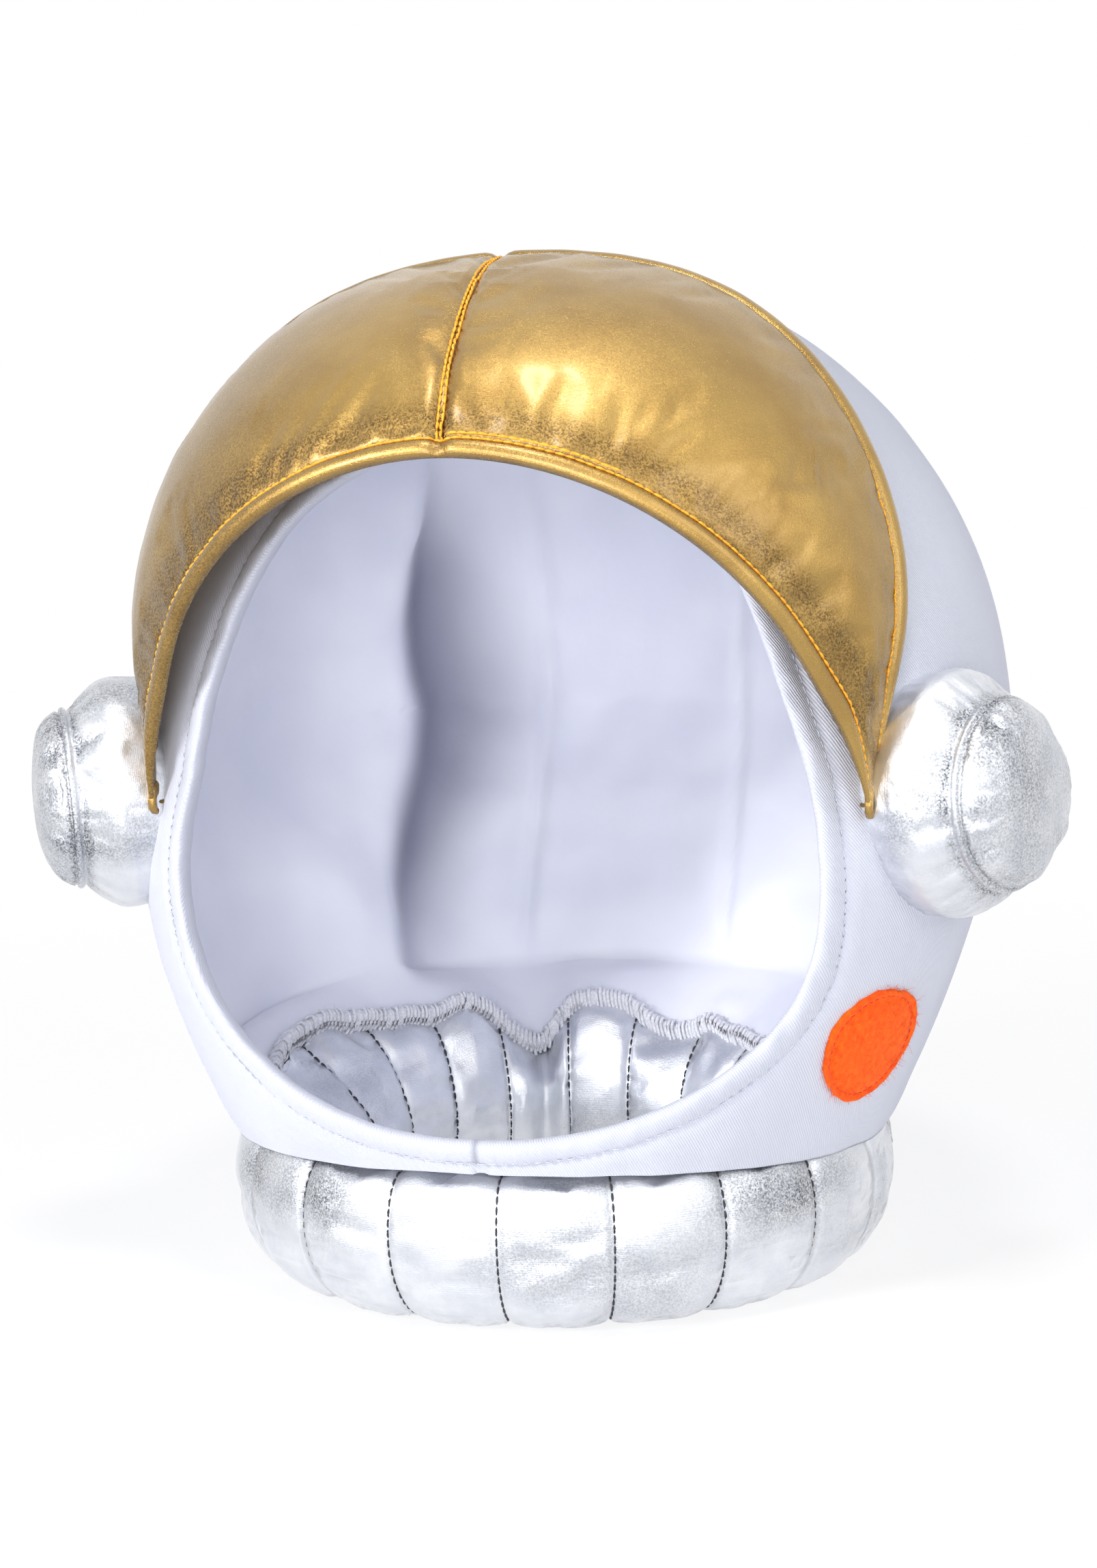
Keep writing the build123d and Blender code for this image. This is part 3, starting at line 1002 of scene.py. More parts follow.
@dataclass(frozen=True)
class Egg:
    """The shell's form: level ellipses that widen from the neck to the belt and close at the crown."""

    axis_y: float
    crown: float
    half_width: float = 146 * MM
    half_depth: float = 138 * MM
    belt: float = 168 * MM
    hem: float = 46 * MM
    set_back: float = 32 * MM
    # Rise from hem to belt, and the shares of width, depth and set-back that go with it
    lower_shares: tuple = (
        (-0.2, 0.68, 0.69, 0.0), (0.0, 0.75, 0.757, 0.0), (0.279, 0.856, 0.833, 0.04),
        (0.648, 0.959, 0.949, 0.3), (1.0, 1.0, 1.0, 0.84),
    )
    middle_height: float = 168 * MM
    middle_back: float = 14 * MM
    far: float = 0.3
    halvings: int = 24

    @property
    def middle(self) -> np.ndarray:
        """Point well inside, from which each direction meets the form once."""
        return np.array([0, self.axis_y + self.middle_back, self.middle_height])

    @cached_property
    def lower_curve(self) -> np.ndarray:
        """Fine rows of rise, width, depth and set-back below the belt."""
        rows = np.array(self.lower_shares)
        start = rows[1] - rows[0]
        level = np.array([1.0, 0, 0, 1.2])
        return clamped_curve(rows, unit(start), unit(level), np.linspace(0, 1, 240))

    def section(self, height: np.ndarray, inset: float | np.ndarray = 0.0) -> tuple:
        """Half width, half depth and middle of the level section.

        Args:
            height: Heights in metres.
            inset: How far the form is drawn in.

        Returns:
            Three arrays: half width, half depth and the section's middle along Y.
        """
        height = np.asarray(height, dtype=float)
        rise = np.clip((height - self.hem) / (self.belt - self.hem), -0.2, 1)
        curve = self.lower_curve
        shares = [np.interp(rise, curve[:, 0], curve[:, i]) for i in (1, 2, 3)]
        # Above the belt the form closes as a dome
        dome = (height - self.belt) / (self.crown - self.belt - inset)
        closing = np.sqrt(np.clip(1 - np.clip(dome, 0, 1) ** 2, 0, 1))
        over = np.where(dome > 0, 0.84 + 0.16 * smoothstep(0, 0.6, dome), shares[2])
        wide = self.half_width * (1 - inset / self.half_width) * shares[0] * closing
        deep = self.half_depth * (1 - inset / self.half_depth) * shares[1] * closing
        return wide, deep, self.axis_y + self.set_back * over

    def front(self, x: np.ndarray, z: np.ndarray, inset: float | np.ndarray = 0.0) -> np.ndarray:
        """Points on the front of the form.

        Args:
            x: Places across.
            z: Heights.
            inset: How far the form is drawn in.

        Returns:
            Rows of coordinates.
        """
        wide, deep, middle = self.section(z, inset)
        y = middle - deep * np.sqrt(np.clip(1 - (x / wide) ** 2, 0, 1))
        return np.stack([x, y, z], axis=-1)

    def around(self, turn: np.ndarray, z: np.ndarray, inset: float | np.ndarray = 0.0) -> np.ndarray:
        """Points round the form.

        Args:
            turn: Angles from the front, in radians, towards the wearer's left.
            z: Heights.
            inset: How far the form is drawn in.

        Returns:
            Rows of coordinates.
        """
        wide, deep, middle = self.section(z, inset)
        return np.stack([wide * np.sin(turn), middle - deep * np.cos(turn), z], axis=-1)

    def hit(self, directions: np.ndarray, inset: float | np.ndarray = 0.0) -> np.ndarray:
        """Points where directions from the middle meet the form.

        Args:
            directions: Array whose last axis holds directions of length 1.
            inset: How far the form is drawn in.

        Returns:
            Points in the same arrangement.
        """
        near = np.zeros(directions.shape[:-1])
        beyond = np.full(directions.shape[:-1], self.far)
        for _ in range(self.halvings):
            reach = (near + beyond) / 2
            spot = self.middle + directions * reach[..., None]
            wide, deep, middle = self.section(spot[..., 2], inset)
            over = spot[..., 2] >= self.crown - inset
            out = (spot[..., 0] / np.maximum(wide, 1e-6)) ** 2
            out = out + ((spot[..., 1] - middle) / np.maximum(deep, 1e-6)) ** 2
            outside = over | (out > 1)
            beyond = np.where(outside, reach, beyond)
            near = np.where(outside, near, reach)
        return self.middle + directions * ((near + beyond) / 2)[..., None]

    def spot(self, side: Side, forward: float, height: float) -> tuple[Vector, Vector]:
        """A place on the side of the shell.

        Args:
            side: Which side.
            forward: Distance in front of the neck ring's axis.
            height: Height.

        Returns:
            The point and the level direction that the shell faces there.
        """
        wide, deep, middle = (float(v) for v in self.section(np.array(height)))
        run = (self.axis_y - forward - middle) / deep
        out = wide * math.sqrt(1 - run ** 2)
        facing = Vector((side.value * out / wide ** 2, run / deep, 0)).normalized()
        return Vector((side.value * out, self.axis_y - forward, height)), facing

    def path(self, from_loop: np.ndarray, to_loop: np.ndarray, shares: np.ndarray,
             inset: float | np.ndarray = 0.0) -> np.ndarray:
        """Lines over the form from the face opening, over crown or cheek, to the neck.

        Args:
            from_loop: Points round the opening, from the chin towards the wearer's left.
            to_loop: Points round the neck, in the same order.
            shares: Places along each line, from 0 to 1.
            inset: How far the form is drawn in.

        Returns:
            Points as (place round the opening, share, 3).
        """
        start, end = unit(from_loop - self.middle), unit(to_loop - self.middle)
        # Each line leaves the opening square to its edge, and comes straight down to the neck
        run = np.roll(start, -1, axis=0) - np.roll(start, 1, axis=0)
        away = unit(np.cross(run, start))
        up = np.array([0, 0, 1.0])
        rising = unit(up - (end @ up)[:, None] * end)
        reach = np.arccos(np.clip((start * end).sum(axis=1), -1, 1))[:, None] / 3
        first, second = start + away * reach, end + rising * reach
        t = shares[None, :, None]
        line = (
            (1 - t) ** 3 * start[:, None] + 3 * t * (1 - t) ** 2 * first[:, None]
            + 3 * t ** 2 * (1 - t) * second[:, None] + t ** 3 * end[:, None]
        )
        return self.hit(unit(line), inset)


@dataclass(frozen=True)
class FaceOpening:
    """Outline of the face opening, drawn from the front."""

    egg: Egg
    half_width: float = 100 * MM
    bottom: float = 62 * MM
    top: float = 268 * MM
    places: int = 420
    # Shares of the half width and the height on the wearer's left half, from the chin to the brow
    shares: tuple = (
        (0.0, 0.0), (0.4, 0.022), (0.7, 0.085), (0.93, 0.2), (1.0, 0.345),
        (0.95, 0.53), (0.85, 0.69), (0.62, 0.89), (0.0, 1.0),
    )

    def loop(self, margin: float = 0.0, inset: float | np.ndarray = 0.0) -> np.ndarray:
        """The outline on the shell, widened by a margin.

        Args:
            margin: How far it is widened.
            inset: How far the shell is drawn in.

        Returns:
            Points from the chin towards the wearer's left and round.
        """
        half = np.array(self.shares) * [self.half_width + margin, self.top - self.bottom + 2 * margin]
        half[:, 1] += self.bottom - margin
        fine = clamped_curve(half, np.array([1.0, 0]), np.array([-1.0, 0]), np.linspace(0, 1, 600))
        run = along(self.egg.front(fine[:, 0], fine[:, 1]))
        even = np.linspace(0, run[-1], self.places // 2 + 1)
        x, z = (np.interp(even, run, fine[:, i]) for i in (0, 1))
        x = np.concatenate([x, -x[-2:0:-1]])
        z = np.concatenate([z, z[-2:0:-1]])
        return self.egg.front(x, z, inset)

    @property
    def turns(self) -> np.ndarray:
        """Angle round the neck, from the front, that goes with each place on the outline."""
        return circle(self.places)


def panel_chart(egg: Egg, chin: float = 120 * MM) -> Callable:
    """Flat coordinates for the shell's panels: two sides and a gusset from brow to nape.

    Args:
        egg: The shell's form.
        chin: Height below which the sides meet in front.

    Returns:
        Function of (corner, face middle) that returns a pair in metres.
    """

    def chart(spot: Vector, middle: Vector) -> tuple[float, float]:
        """Flat place of a corner on the panel that its face belongs to.

        Args:
            spot: The corner.
            middle: Middle of its face.

        Returns:
            Its place across and along the cloth, in metres.
        """
        in_front = middle.y < egg.axis_y and middle.z < chin
        if abs(middle.x) < GUSSET and not in_front:
            turn = math.atan2(spot.y - egg.axis_y, spot.z - egg.belt)
            return spot.x, turn * egg.half_depth
        turn = math.atan2(spot.x, -(spot.y - egg.axis_y))
        if middle.x < 0 < turn:
            turn -= 2 * math.pi
        return turn * egg.half_depth, spot.z

    return chart


@dataclass(frozen=True)
class NeckEdge:
    """Wavy line inside the ring's top where lining and ring are overlocked together."""

    axis_y: float
    radius: float = 76 * MM
    # Turn from the front towards the wearer's left in degrees, and height in millimetres; the low
    # place behind is where the ring's two ends are gathered
    waves: tuple = (
        (-178, 69), (-168, 66), (-164, 58), (-160, 49), (-156, 54), (-148, 62), (-140, 69), (-124, 65),
        (-112, 68), (-92, 70), (-72, 60), (-40, 49), (0, 45), (40, 48), (90, 60), (130, 57), (149, 61),
        (162, 56), (172, 62),
    )

    def lift(self, turns: np.ndarray) -> tuple[np.ndarray, np.ndarray]:
        """Height and radius of the edge.

        Args:
            turns: Angles from the front towards the wearer's left, in radians.

        Returns:
            Heights and radii in metres.
        """
        fine = np.arange(0, 360, 1.0)
        waves = np.array(self.waves)
        heights = np.interp(fine, waves[:, 0] % 360, waves[:, 1], period=360)
        # The strip bends gently, so its heights are eased over a few degrees
        window = np.hanning(9) / np.hanning(9).sum()
        soft = np.convolve(np.concatenate([heights[-8:], heights, heights[:8]]), window, "same")[8:-8]
        degrees = np.degrees(turns) % 360
        height = np.interp(degrees, fine, soft, period=360) * MM
        height = height + MM * (0.7 * np.sin(17 * turns) + 0.5 * np.sin(29 * turns + 1.0))
        # Towards the wearer's right the edge has slipped outwards over the ring
        slipped = hill(half_turns(degrees - 288), 0, 36)
        return height, self.radius + 21 * MM * slipped + 0.7 * MM * np.sin(7 * turns + 1.0)

    def loop(self, turns: np.ndarray) -> np.ndarray:
        """The edge's line.

        Args:
            turns: Angles from the front towards the wearer's left, in radians.

        Returns:
            Rows of coordinates.
        """
        height, radius = self.lift(turns)
        return np.stack([radius * np.sin(turns), self.axis_y - radius * np.cos(turns), height], axis=-1)


# Pieces


@dataclass(frozen=True)
class Stitch:
    """One visible stitch of a machine seam."""

    pitch: float = 3.1 * MM
    length: float = 2.5 * MM
    radius: float = 0.28 * MM
    sink: float = 0.25 * MM

    def run(self, cloth: Cloth, line: np.ndarray, outward: np.ndarray, lift: float = 0.0) -> None:
        """Lays stitches along a line.

        Args:
            cloth: Mesh that they join.
            line: Points of the seam on the cloth.
            outward: Direction out of the cloth at each point.
            lift: How far the thread's middle lies above the line.
        """
        distance = along(line)
        count = max(1, int(distance[-1] / self.pitch))
        for i in range(count):
            middle = (i + 0.5) * distance[-1] / count
            places = middle + np.linspace(-0.5, 0.5, 5) * self.length
            spots = sample(line, distance, places)
            out = sample(outward, distance, places)
            arch = np.array([-1.0, 0.35, 0.6, 0.35, -1.0])[:, None] * self.sink
            radius = np.array([0.55, 0.95, 1.0, 0.95, 0.55]) * self.radius
            cloth.tube(spots + unit(out) * (arch + lift), radius)


@dataclass(frozen=True)
class Shell:
    """The padded white shell: cover, turned hem and lining."""

    egg: Egg
    opening: FaceOpening
    edge: NeckEdge
    hem_width: float = 7 * MM
    padding: float = 5.8 * MM
    wall: float = 8.2 * MM
    rolled: float = 2.2 * MM
    groove: float = 1.3 * MM
    hem_pitch: float = 3.4 * MM
    fold_turn: float = -135.0
    fold_depth: float = 23 * MM

    def neck_heights(self, turns: np.ndarray) -> np.ndarray:
        """Height of the cover's lower edge, which rides up over the ring under the chin.

        Args:
            turns: Angles from the front.

        Returns:
            Heights in metres.
        """
        front = ((1 + np.cos(turns)) / 2) ** 3
        return self.egg.hem + 5 * MM * front - 2.5 * MM * np.sin(turns) ** 2

    def over_chin(self, points: np.ndarray) -> np.ndarray:
        """Share of 1 where the gusset parts the two sides, and 0 where they meet under the chin.

        Args:
            points: Points on the cover.

        Returns:
            Shares from 0 to 1.
        """
        behind = np.where(points[..., 1] > self.egg.axis_y, 1.0, 0.0)
        return smoothstep(110 * MM, 130 * MM, points[..., 2] + behind)

    def seam_dips(self, points: np.ndarray) -> np.ndarray:
        """How far the gusset's seams and the chin seam draw the cloth in.

        Args:
            points: Points on the cover.

        Returns:
            Depths in metres.
        """
        x, over_chin = points[..., 0], self.over_chin(points)
        wobble = 0.5 + 0.5 * cloud(points, 9 * MM, 3.1)
        gusset = hill(np.abs(x), GUSSET, 3.2 * MM) * over_chin * (1.2 * MM + 0.9 * MM * wobble)
        chin = hill(x, 1 * MM, 1.5 * MM) * (1 - over_chin) * 2.0 * MM
        return gusset + chin

    def seam_shade(self, points: np.ndarray) -> np.ndarray:
        """How much shade the creases of the gusset's seams and the chin seam hold.

        Args:
            points: Points on the cover.

        Returns:
            Shares from 0 to 1.
        """
        x, over_chin = points[..., 0], self.over_chin(points)
        gusset = 0.4 * hill(np.abs(x), GUSSET, 2.3 * MM) * over_chin
        return gusset + 0.75 * hill(x, 0.6 * MM, 0.9 * MM) * (1 - over_chin)

    def cover(self) -> None:
        """Outer twill over its foam, as one closed padded form."""
        turns = self.opening.turns
        edge = self.opening.loop(self.hem_width)
        neck = self.egg.around(turns, self.neck_heights(turns))
        shares = np.linspace(0, 1, 150) ** 1.5
        outer = self.egg.path(edge, neck, shares)
        out = grid_normals(outer, self.egg.middle, wrap_u=True)
        run = along_rows(outer)
        left_over = run[:, -1:] - run
        # The hem's seam draws the cloth in and puckers it, and so does the neck's edge, more softly
        near = np.exp(-run / (5.5 * MM))
        dip = self.groove * hill(run, 0, 3.2 * MM)
        dip = dip + near * 0.45 * MM * cloud(outer, 7 * MM, 9.0)
        dip = dip + 1.2 * MM * hill(left_over, 0, 6 * MM)
        dip = dip + np.exp(-left_over / (14 * MM)) * 0.7 * MM * cloud(outer, 14 * MM, 2.0)
        dip = dip + self.seam_dips(outer)
        # Sewn cloth is never quite even: broad soft dents all over
        soft = 1.5 * MM * cloud(outer, 75 * MM, 5.0) + 0.5 * MM * cloud(outer, 26 * MM, 8.0)
        soft = soft * smoothstep(0, 30 * MM, run) * smoothstep(0, 25 * MM, left_over)
        outer = outer - out * (dip + np.maximum(soft, -1.0 * MM))[..., None]
        # The foam thins out towards the neck's edge
        full = smoothstep(0, 30 * MM, left_over[:, ::3])
        thick = self.rolled + (self.padding - self.rolled) * full
        inner = self.egg.path(edge, neck, shares[::3]) - out[:, ::3] * thick[..., None]
        ring = np.concatenate([outer, inner[:, ::-1]], axis=1)
        # Painted shade in the creases of the gusset's seams and the chin seam
        shaded = np.zeros(ring.shape[:2])
        shaded[:, :outer.shape[1]] = self.seam_shade(outer)
        cloth = Cloth()
        cloth.grid(ring, wrap_u=True, wrap_v=True, painted_shade=shaded)
        piece = cloth.build("shell_cover", closed=True)
        give_chart(piece, panel_chart(self.egg))
        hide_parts("outer_left", "outer_right", "outer_crown",
                    "foam_left", "foam_right", "foam_crown")
        dress(piece, TWILL, Body.HELMET)

    def hem(self) -> None:
        """Twill turned round the opening's edge and topstitched, its ends butted at the chin."""
        # Margin and inset of each point round the hem's section, in millimetres, from the groove
        # over the front, round the fold and back along the inside
        section = (
            (7.4, 1.6), (6.9, 0.9), (6.2, 0.1), (5.2, -0.5), (3.9, -0.8), (2.6, -0.7), (1.4, -0.2),
            (0.5, 0.8), (0.0, 2.2), (-0.1, 4.0), (0.1, 6.0), (0.7, 7.6), (1.8, 8.7), (3.3, 9.2),
            (5.0, 9.2), (6.4, 8.8), (7.3, 8.0), (7.6, 5.0),
        )
        loops = []
        place = np.arange(self.opening.places)
        stitch_turn = along(self.opening.loop()) * (2 * math.pi / self.hem_pitch)
        # The face of the hem sinks where its two ends butt under the chin
        butt = hill(np.minimum(place, len(place) - place), 0, 1.6)
        for margin, inset in section:
            line = self.opening.loop(margin * MM)
            pucker = cloud(line, 6 * MM, margin * 0.05) * 0.7 + cloud(line, 18 * MM, 4.0) * 0.6
            gather = 0.4 * np.cos(stitch_turn) * hill(margin, 5.8, 1.5)
            depth = inset * MM + (pucker + gather + butt * (inset < 4)) * MM
            loops.append(self.opening.loop(margin * MM, depth))
        ring = np.stack(loops, axis=1)
        # Painted shade along the line where the hem's two ends butt under the chin
        butted = 0.6 * hill(ring[..., 0], 0.2 * MM, 0.9 * MM) * (ring[..., 2] < self.egg.belt)
        cloth = Cloth()
        cloth.grid(ring, wrap_u=True, wrap_v=True, painted_shade=butted)
        piece = cloth.build("face_hem", closed=True)
        give_chart(piece, panel_chart(self.egg))
        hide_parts("face_hem_left", "face_hem_right")
        dress(piece, TWILL, Body.HELMET)

    def hem_stitches(self) -> None:
        """White topstitching in the hem's groove."""
        line = self.opening.loop(6.9 * MM, 0.75 * MM)
        line = np.concatenate([line, line[:1]])
        out = unit(line - self.egg.middle)
        cloth = Cloth()
        Stitch(pitch=self.hem_pitch, length=2.6 * MM, radius=0.27 * MM).run(cloth, line, out)
        dress(cloth.build("hem_stitches"), WHITE_THREAD, Body.HELMET)

    def lining(self) -> None:
        """Satin lining from the hem to the serged edge, slack over the foam."""
        turns = self.opening.turns
        edge = self.opening.loop(5.6 * MM, self.wall)
        front = ((1 + np.cos(turns)) / 2) ** 2
        low = self.egg.around(turns, 76 * MM - 23 * MM * front, self.wall)
        shares = np.linspace(0, 1, 120) ** 1.3
        wall = self.egg.path(edge, low, shares, self.wall)
        out = grid_normals(wall, self.egg.middle, wrap_u=True)
        run = along_rows(wall)
        calm = smoothstep(0, 26 * MM, run) * smoothstep(0, 20 * MM, run[:, -1:] - run)
        # Broad swells with smaller ones on them, calm beside the hem and the neck
        slack = 4.0 * MM * (0.5 + 0.6 * cloud(wall, 48 * MM, 1.5)) + 1.9 * MM * cloud(wall, 19 * MM, 6.5)
        slack = np.maximum(slack, 0) * calm
        # The gusset's seams are drawn to the foam, and the cloth beside them stands off it
        from_middle = np.abs(wall[..., 0])
        on_gusset = wall[..., 1] > self.egg.axis_y - 60 * MM
        seam = hill(from_middle, GUSSET, 2.6 * MM) * on_gusset
        beside = hill(from_middle, GUSSET, 16 * MM) * on_gusset
        slack = slack + calm * (3.5 * MM * beside - 3.0 * MM * seam)
        hang, painted_shadow = self.fold(wall)
        slack = slack + hang * smoothstep(0, 40 * MM, run)
        wall = wall - out * np.maximum(slack, 0)[..., None]
        # Below, the facing goes over the ring to the serged edge
        serged = self.edge.loop(turns)
        t = np.linspace(0, 1, 16)[1:][None, :, None]
        start = wall[:, -1][:, None]
        centre = np.array([0, self.egg.axis_y, 0])
        knee = (centre + (serged - centre) * [1.12, 1.12, 1] + [0, 0, 11 * MM])[:, None]
        apron = (1 - t) ** 2 * start + 2 * t * (1 - t) * knee + t ** 2 * serged[:, None]
        apron[..., 2] += 1.1 * MM * cloud(apron, 11 * MM, 4.4) * np.sin(t[..., 0] * math.pi)
        # The painted shadow fades out beside the hem and runs on down the facing
        painted_shadow = painted_shadow * smoothstep(0, 30 * MM, run)
        painted_shadow = np.concatenate([painted_shadow, painted_shadow[:, -1:] * (1 - t[..., 0])], axis=1)
        cloth = Cloth()
        cloth.grid(np.concatenate([wall, apron], axis=1), wrap_u=True, painted_shade=painted_shadow)
        piece = cloth.build("lining")
        give_chart(piece, panel_chart(self.egg))
        solid = piece.modifiers.new("thickness", "SOLIDIFY")
        solid.thickness, solid.offset = 0.6 * MM, 0
        shaped = bpy.data.meshes.new_from_object(piece.evaluated_get(bpy.context.evaluated_depsgraph_get()))
        piece.modifiers.clear()
        piece.data = shaped
        shaped.name = piece.name
        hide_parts("lining_left", "lining_right", "lining_crown", "neck_facing")
        dress(piece, SATIN, Body.HELMET)

    def fold(self, wall: np.ndarray) -> tuple[np.ndarray, np.ndarray]:
        """How far the wearer's right lining panel hangs off the foam in a long fold.

        Args:
            wall: Points on the lining.

        Returns:
            Depths in metres, and how much painted shadow each point takes.
        """
        wide, deep, middle = self.egg.section(wall[..., 2], self.wall)
        turn = np.degrees(np.arctan2(wall[..., 0] / np.maximum(wide, 1e-4),
                                     -(wall[..., 1] - middle) / np.maximum(deep, 1e-4)))
        height = wall[..., 2]
        # The fold's edge sways from side to side on its way down
        sway = 2.8 * np.sin(height / (34 * MM)) + 1.0 * np.sin(height / (15 * MM) + 1)
        past = half_turns(turn - self.fold_turn - sway)
        hang = smoothstep(-8.0, 5.0, past) * hill(np.maximum(past, 0), 0, 34)
        # Behind the fold's edge the lining lies flat, then swells again over the back
        swell = 0.3 * smoothstep(22, 44, -past) * smoothstep(-150, -60, past)
        up = smoothstep(-292, -262, -height / MM)
        # Smaller folds run slantwise, low on the slack cloth
        slant = 0.22 * np.sin((height * 0.8 + wall[..., 0] * 1.3) / (11 * MM)) * smoothstep(-20, 30, past)
        slant = slant * smoothstep(-150, -90, -height / MM) * smoothstep(-80, -50, -past)
        # The painted shadow starts at the fold and fades over the flat cloth, and the crown gets a little
        # painted shadow too
        fade = 26 + 5 * np.sin(height / (23 * MM))
        beside = smoothstep(3.0, -4.0, past) * smoothstep(-1, -0.15, past / fade)
        beside = beside * smoothstep(60 * MM, 120 * MM, height) * smoothstep(-270, -215, -height / MM)
        under_crown = 0.1 * smoothstep(215 * MM, 262 * MM, height)
        return self.fold_depth * up * (hang + swell + slant), np.clip(beside * up + under_crown, 0, 1)

    def serged_edge(self) -> None:
        """Overlocked edge: a soft strip wound with woolly yarn that has come up fuzzy."""
        places, winds, per_wind = 560, 330, 10
        turns = circle(places)
        core = self.edge.loop(turns) + [0, 0, 1.0 * MM]
        inward = np.stack([-np.sin(turns), np.cos(turns), np.zeros(places)], axis=-1)
        cloth = Cloth()
        lean = unit(inward * 0.35 + [0, 0, 1.0])
        across = unit(np.cross(unit(np.roll(core, -1, axis=0) - core), lean))
        angles = circle(12)
        # The strip inside is unevenly fat
        fat = 1.0 + 0.25 * cloud(core, 4 * MM, 2.2)[:, None, None]
        tube = core[:, None] + fat * (
            np.cos(angles)[None, :, None] * lean[:, None] * 3.6 * MM
            + np.sin(angles)[None, :, None] * across[:, None] * 1.9 * MM
        )
        cloth.grid(tube, wrap_u=True, wrap_v=True)
        t = np.arange(winds * per_wind) / (winds * per_wind)
        turn = t * 2 * math.pi
        spin = turn * winds
        # Each wind of the yarn lies a little higher or lower than the last
        wobble = 1 + 0.12 * np.sin(spin * 0.37) + 0.1 * np.sin(turn * 91)
        centre, up, off = (
            sample(np.concatenate([rows, rows[:1]]), np.arange(places + 1), t * places)
            for rows in (core, lean, across)
        )
        yarn = centre + (wobble * 4.0 * MM * np.cos(spin))[:, None] * up
        yarn = yarn + (wobble * 2.2 * MM * np.sin(spin))[:, None] * off
        cloth.tube(yarn, 0.6 * MM, closed=True)
        self._fuzz(cloth, centre, up, off)
        piece = cloth.build("serged_edge_yarn")
        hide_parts("serged_edge")
        dress(piece, SERGING, Body.HELMET)

    @staticmethod
    def _fuzz(cloth: Cloth, centre: np.ndarray, up: np.ndarray, off: np.ndarray) -> None:
        """Adds loose fibres that stand off the yarn.

        Args:
            cloth: Mesh that they join.
            centre: Points along the edge.
            up: Direction up the edge at each point.
            off: Direction out of its face.
        """
        chance = np.random.default_rng(7)
        for _ in range(1500):
            i = chance.integers(len(centre))
            turn = chance.uniform(0, 2 * math.pi)
            way = up[i] * math.cos(turn) + off[i] * math.sin(turn)
            root = centre[i] + up[i] * math.cos(turn) * 3.3 * MM + off[i] * math.sin(turn) * 1.6 * MM
            curl = chance.normal(0, 0.7, 3)
            length = chance.uniform(0.8, 2.6) * MM
            cloth.fibre(root, way * length, curl * length * 0.6, (0.09, 0.04))


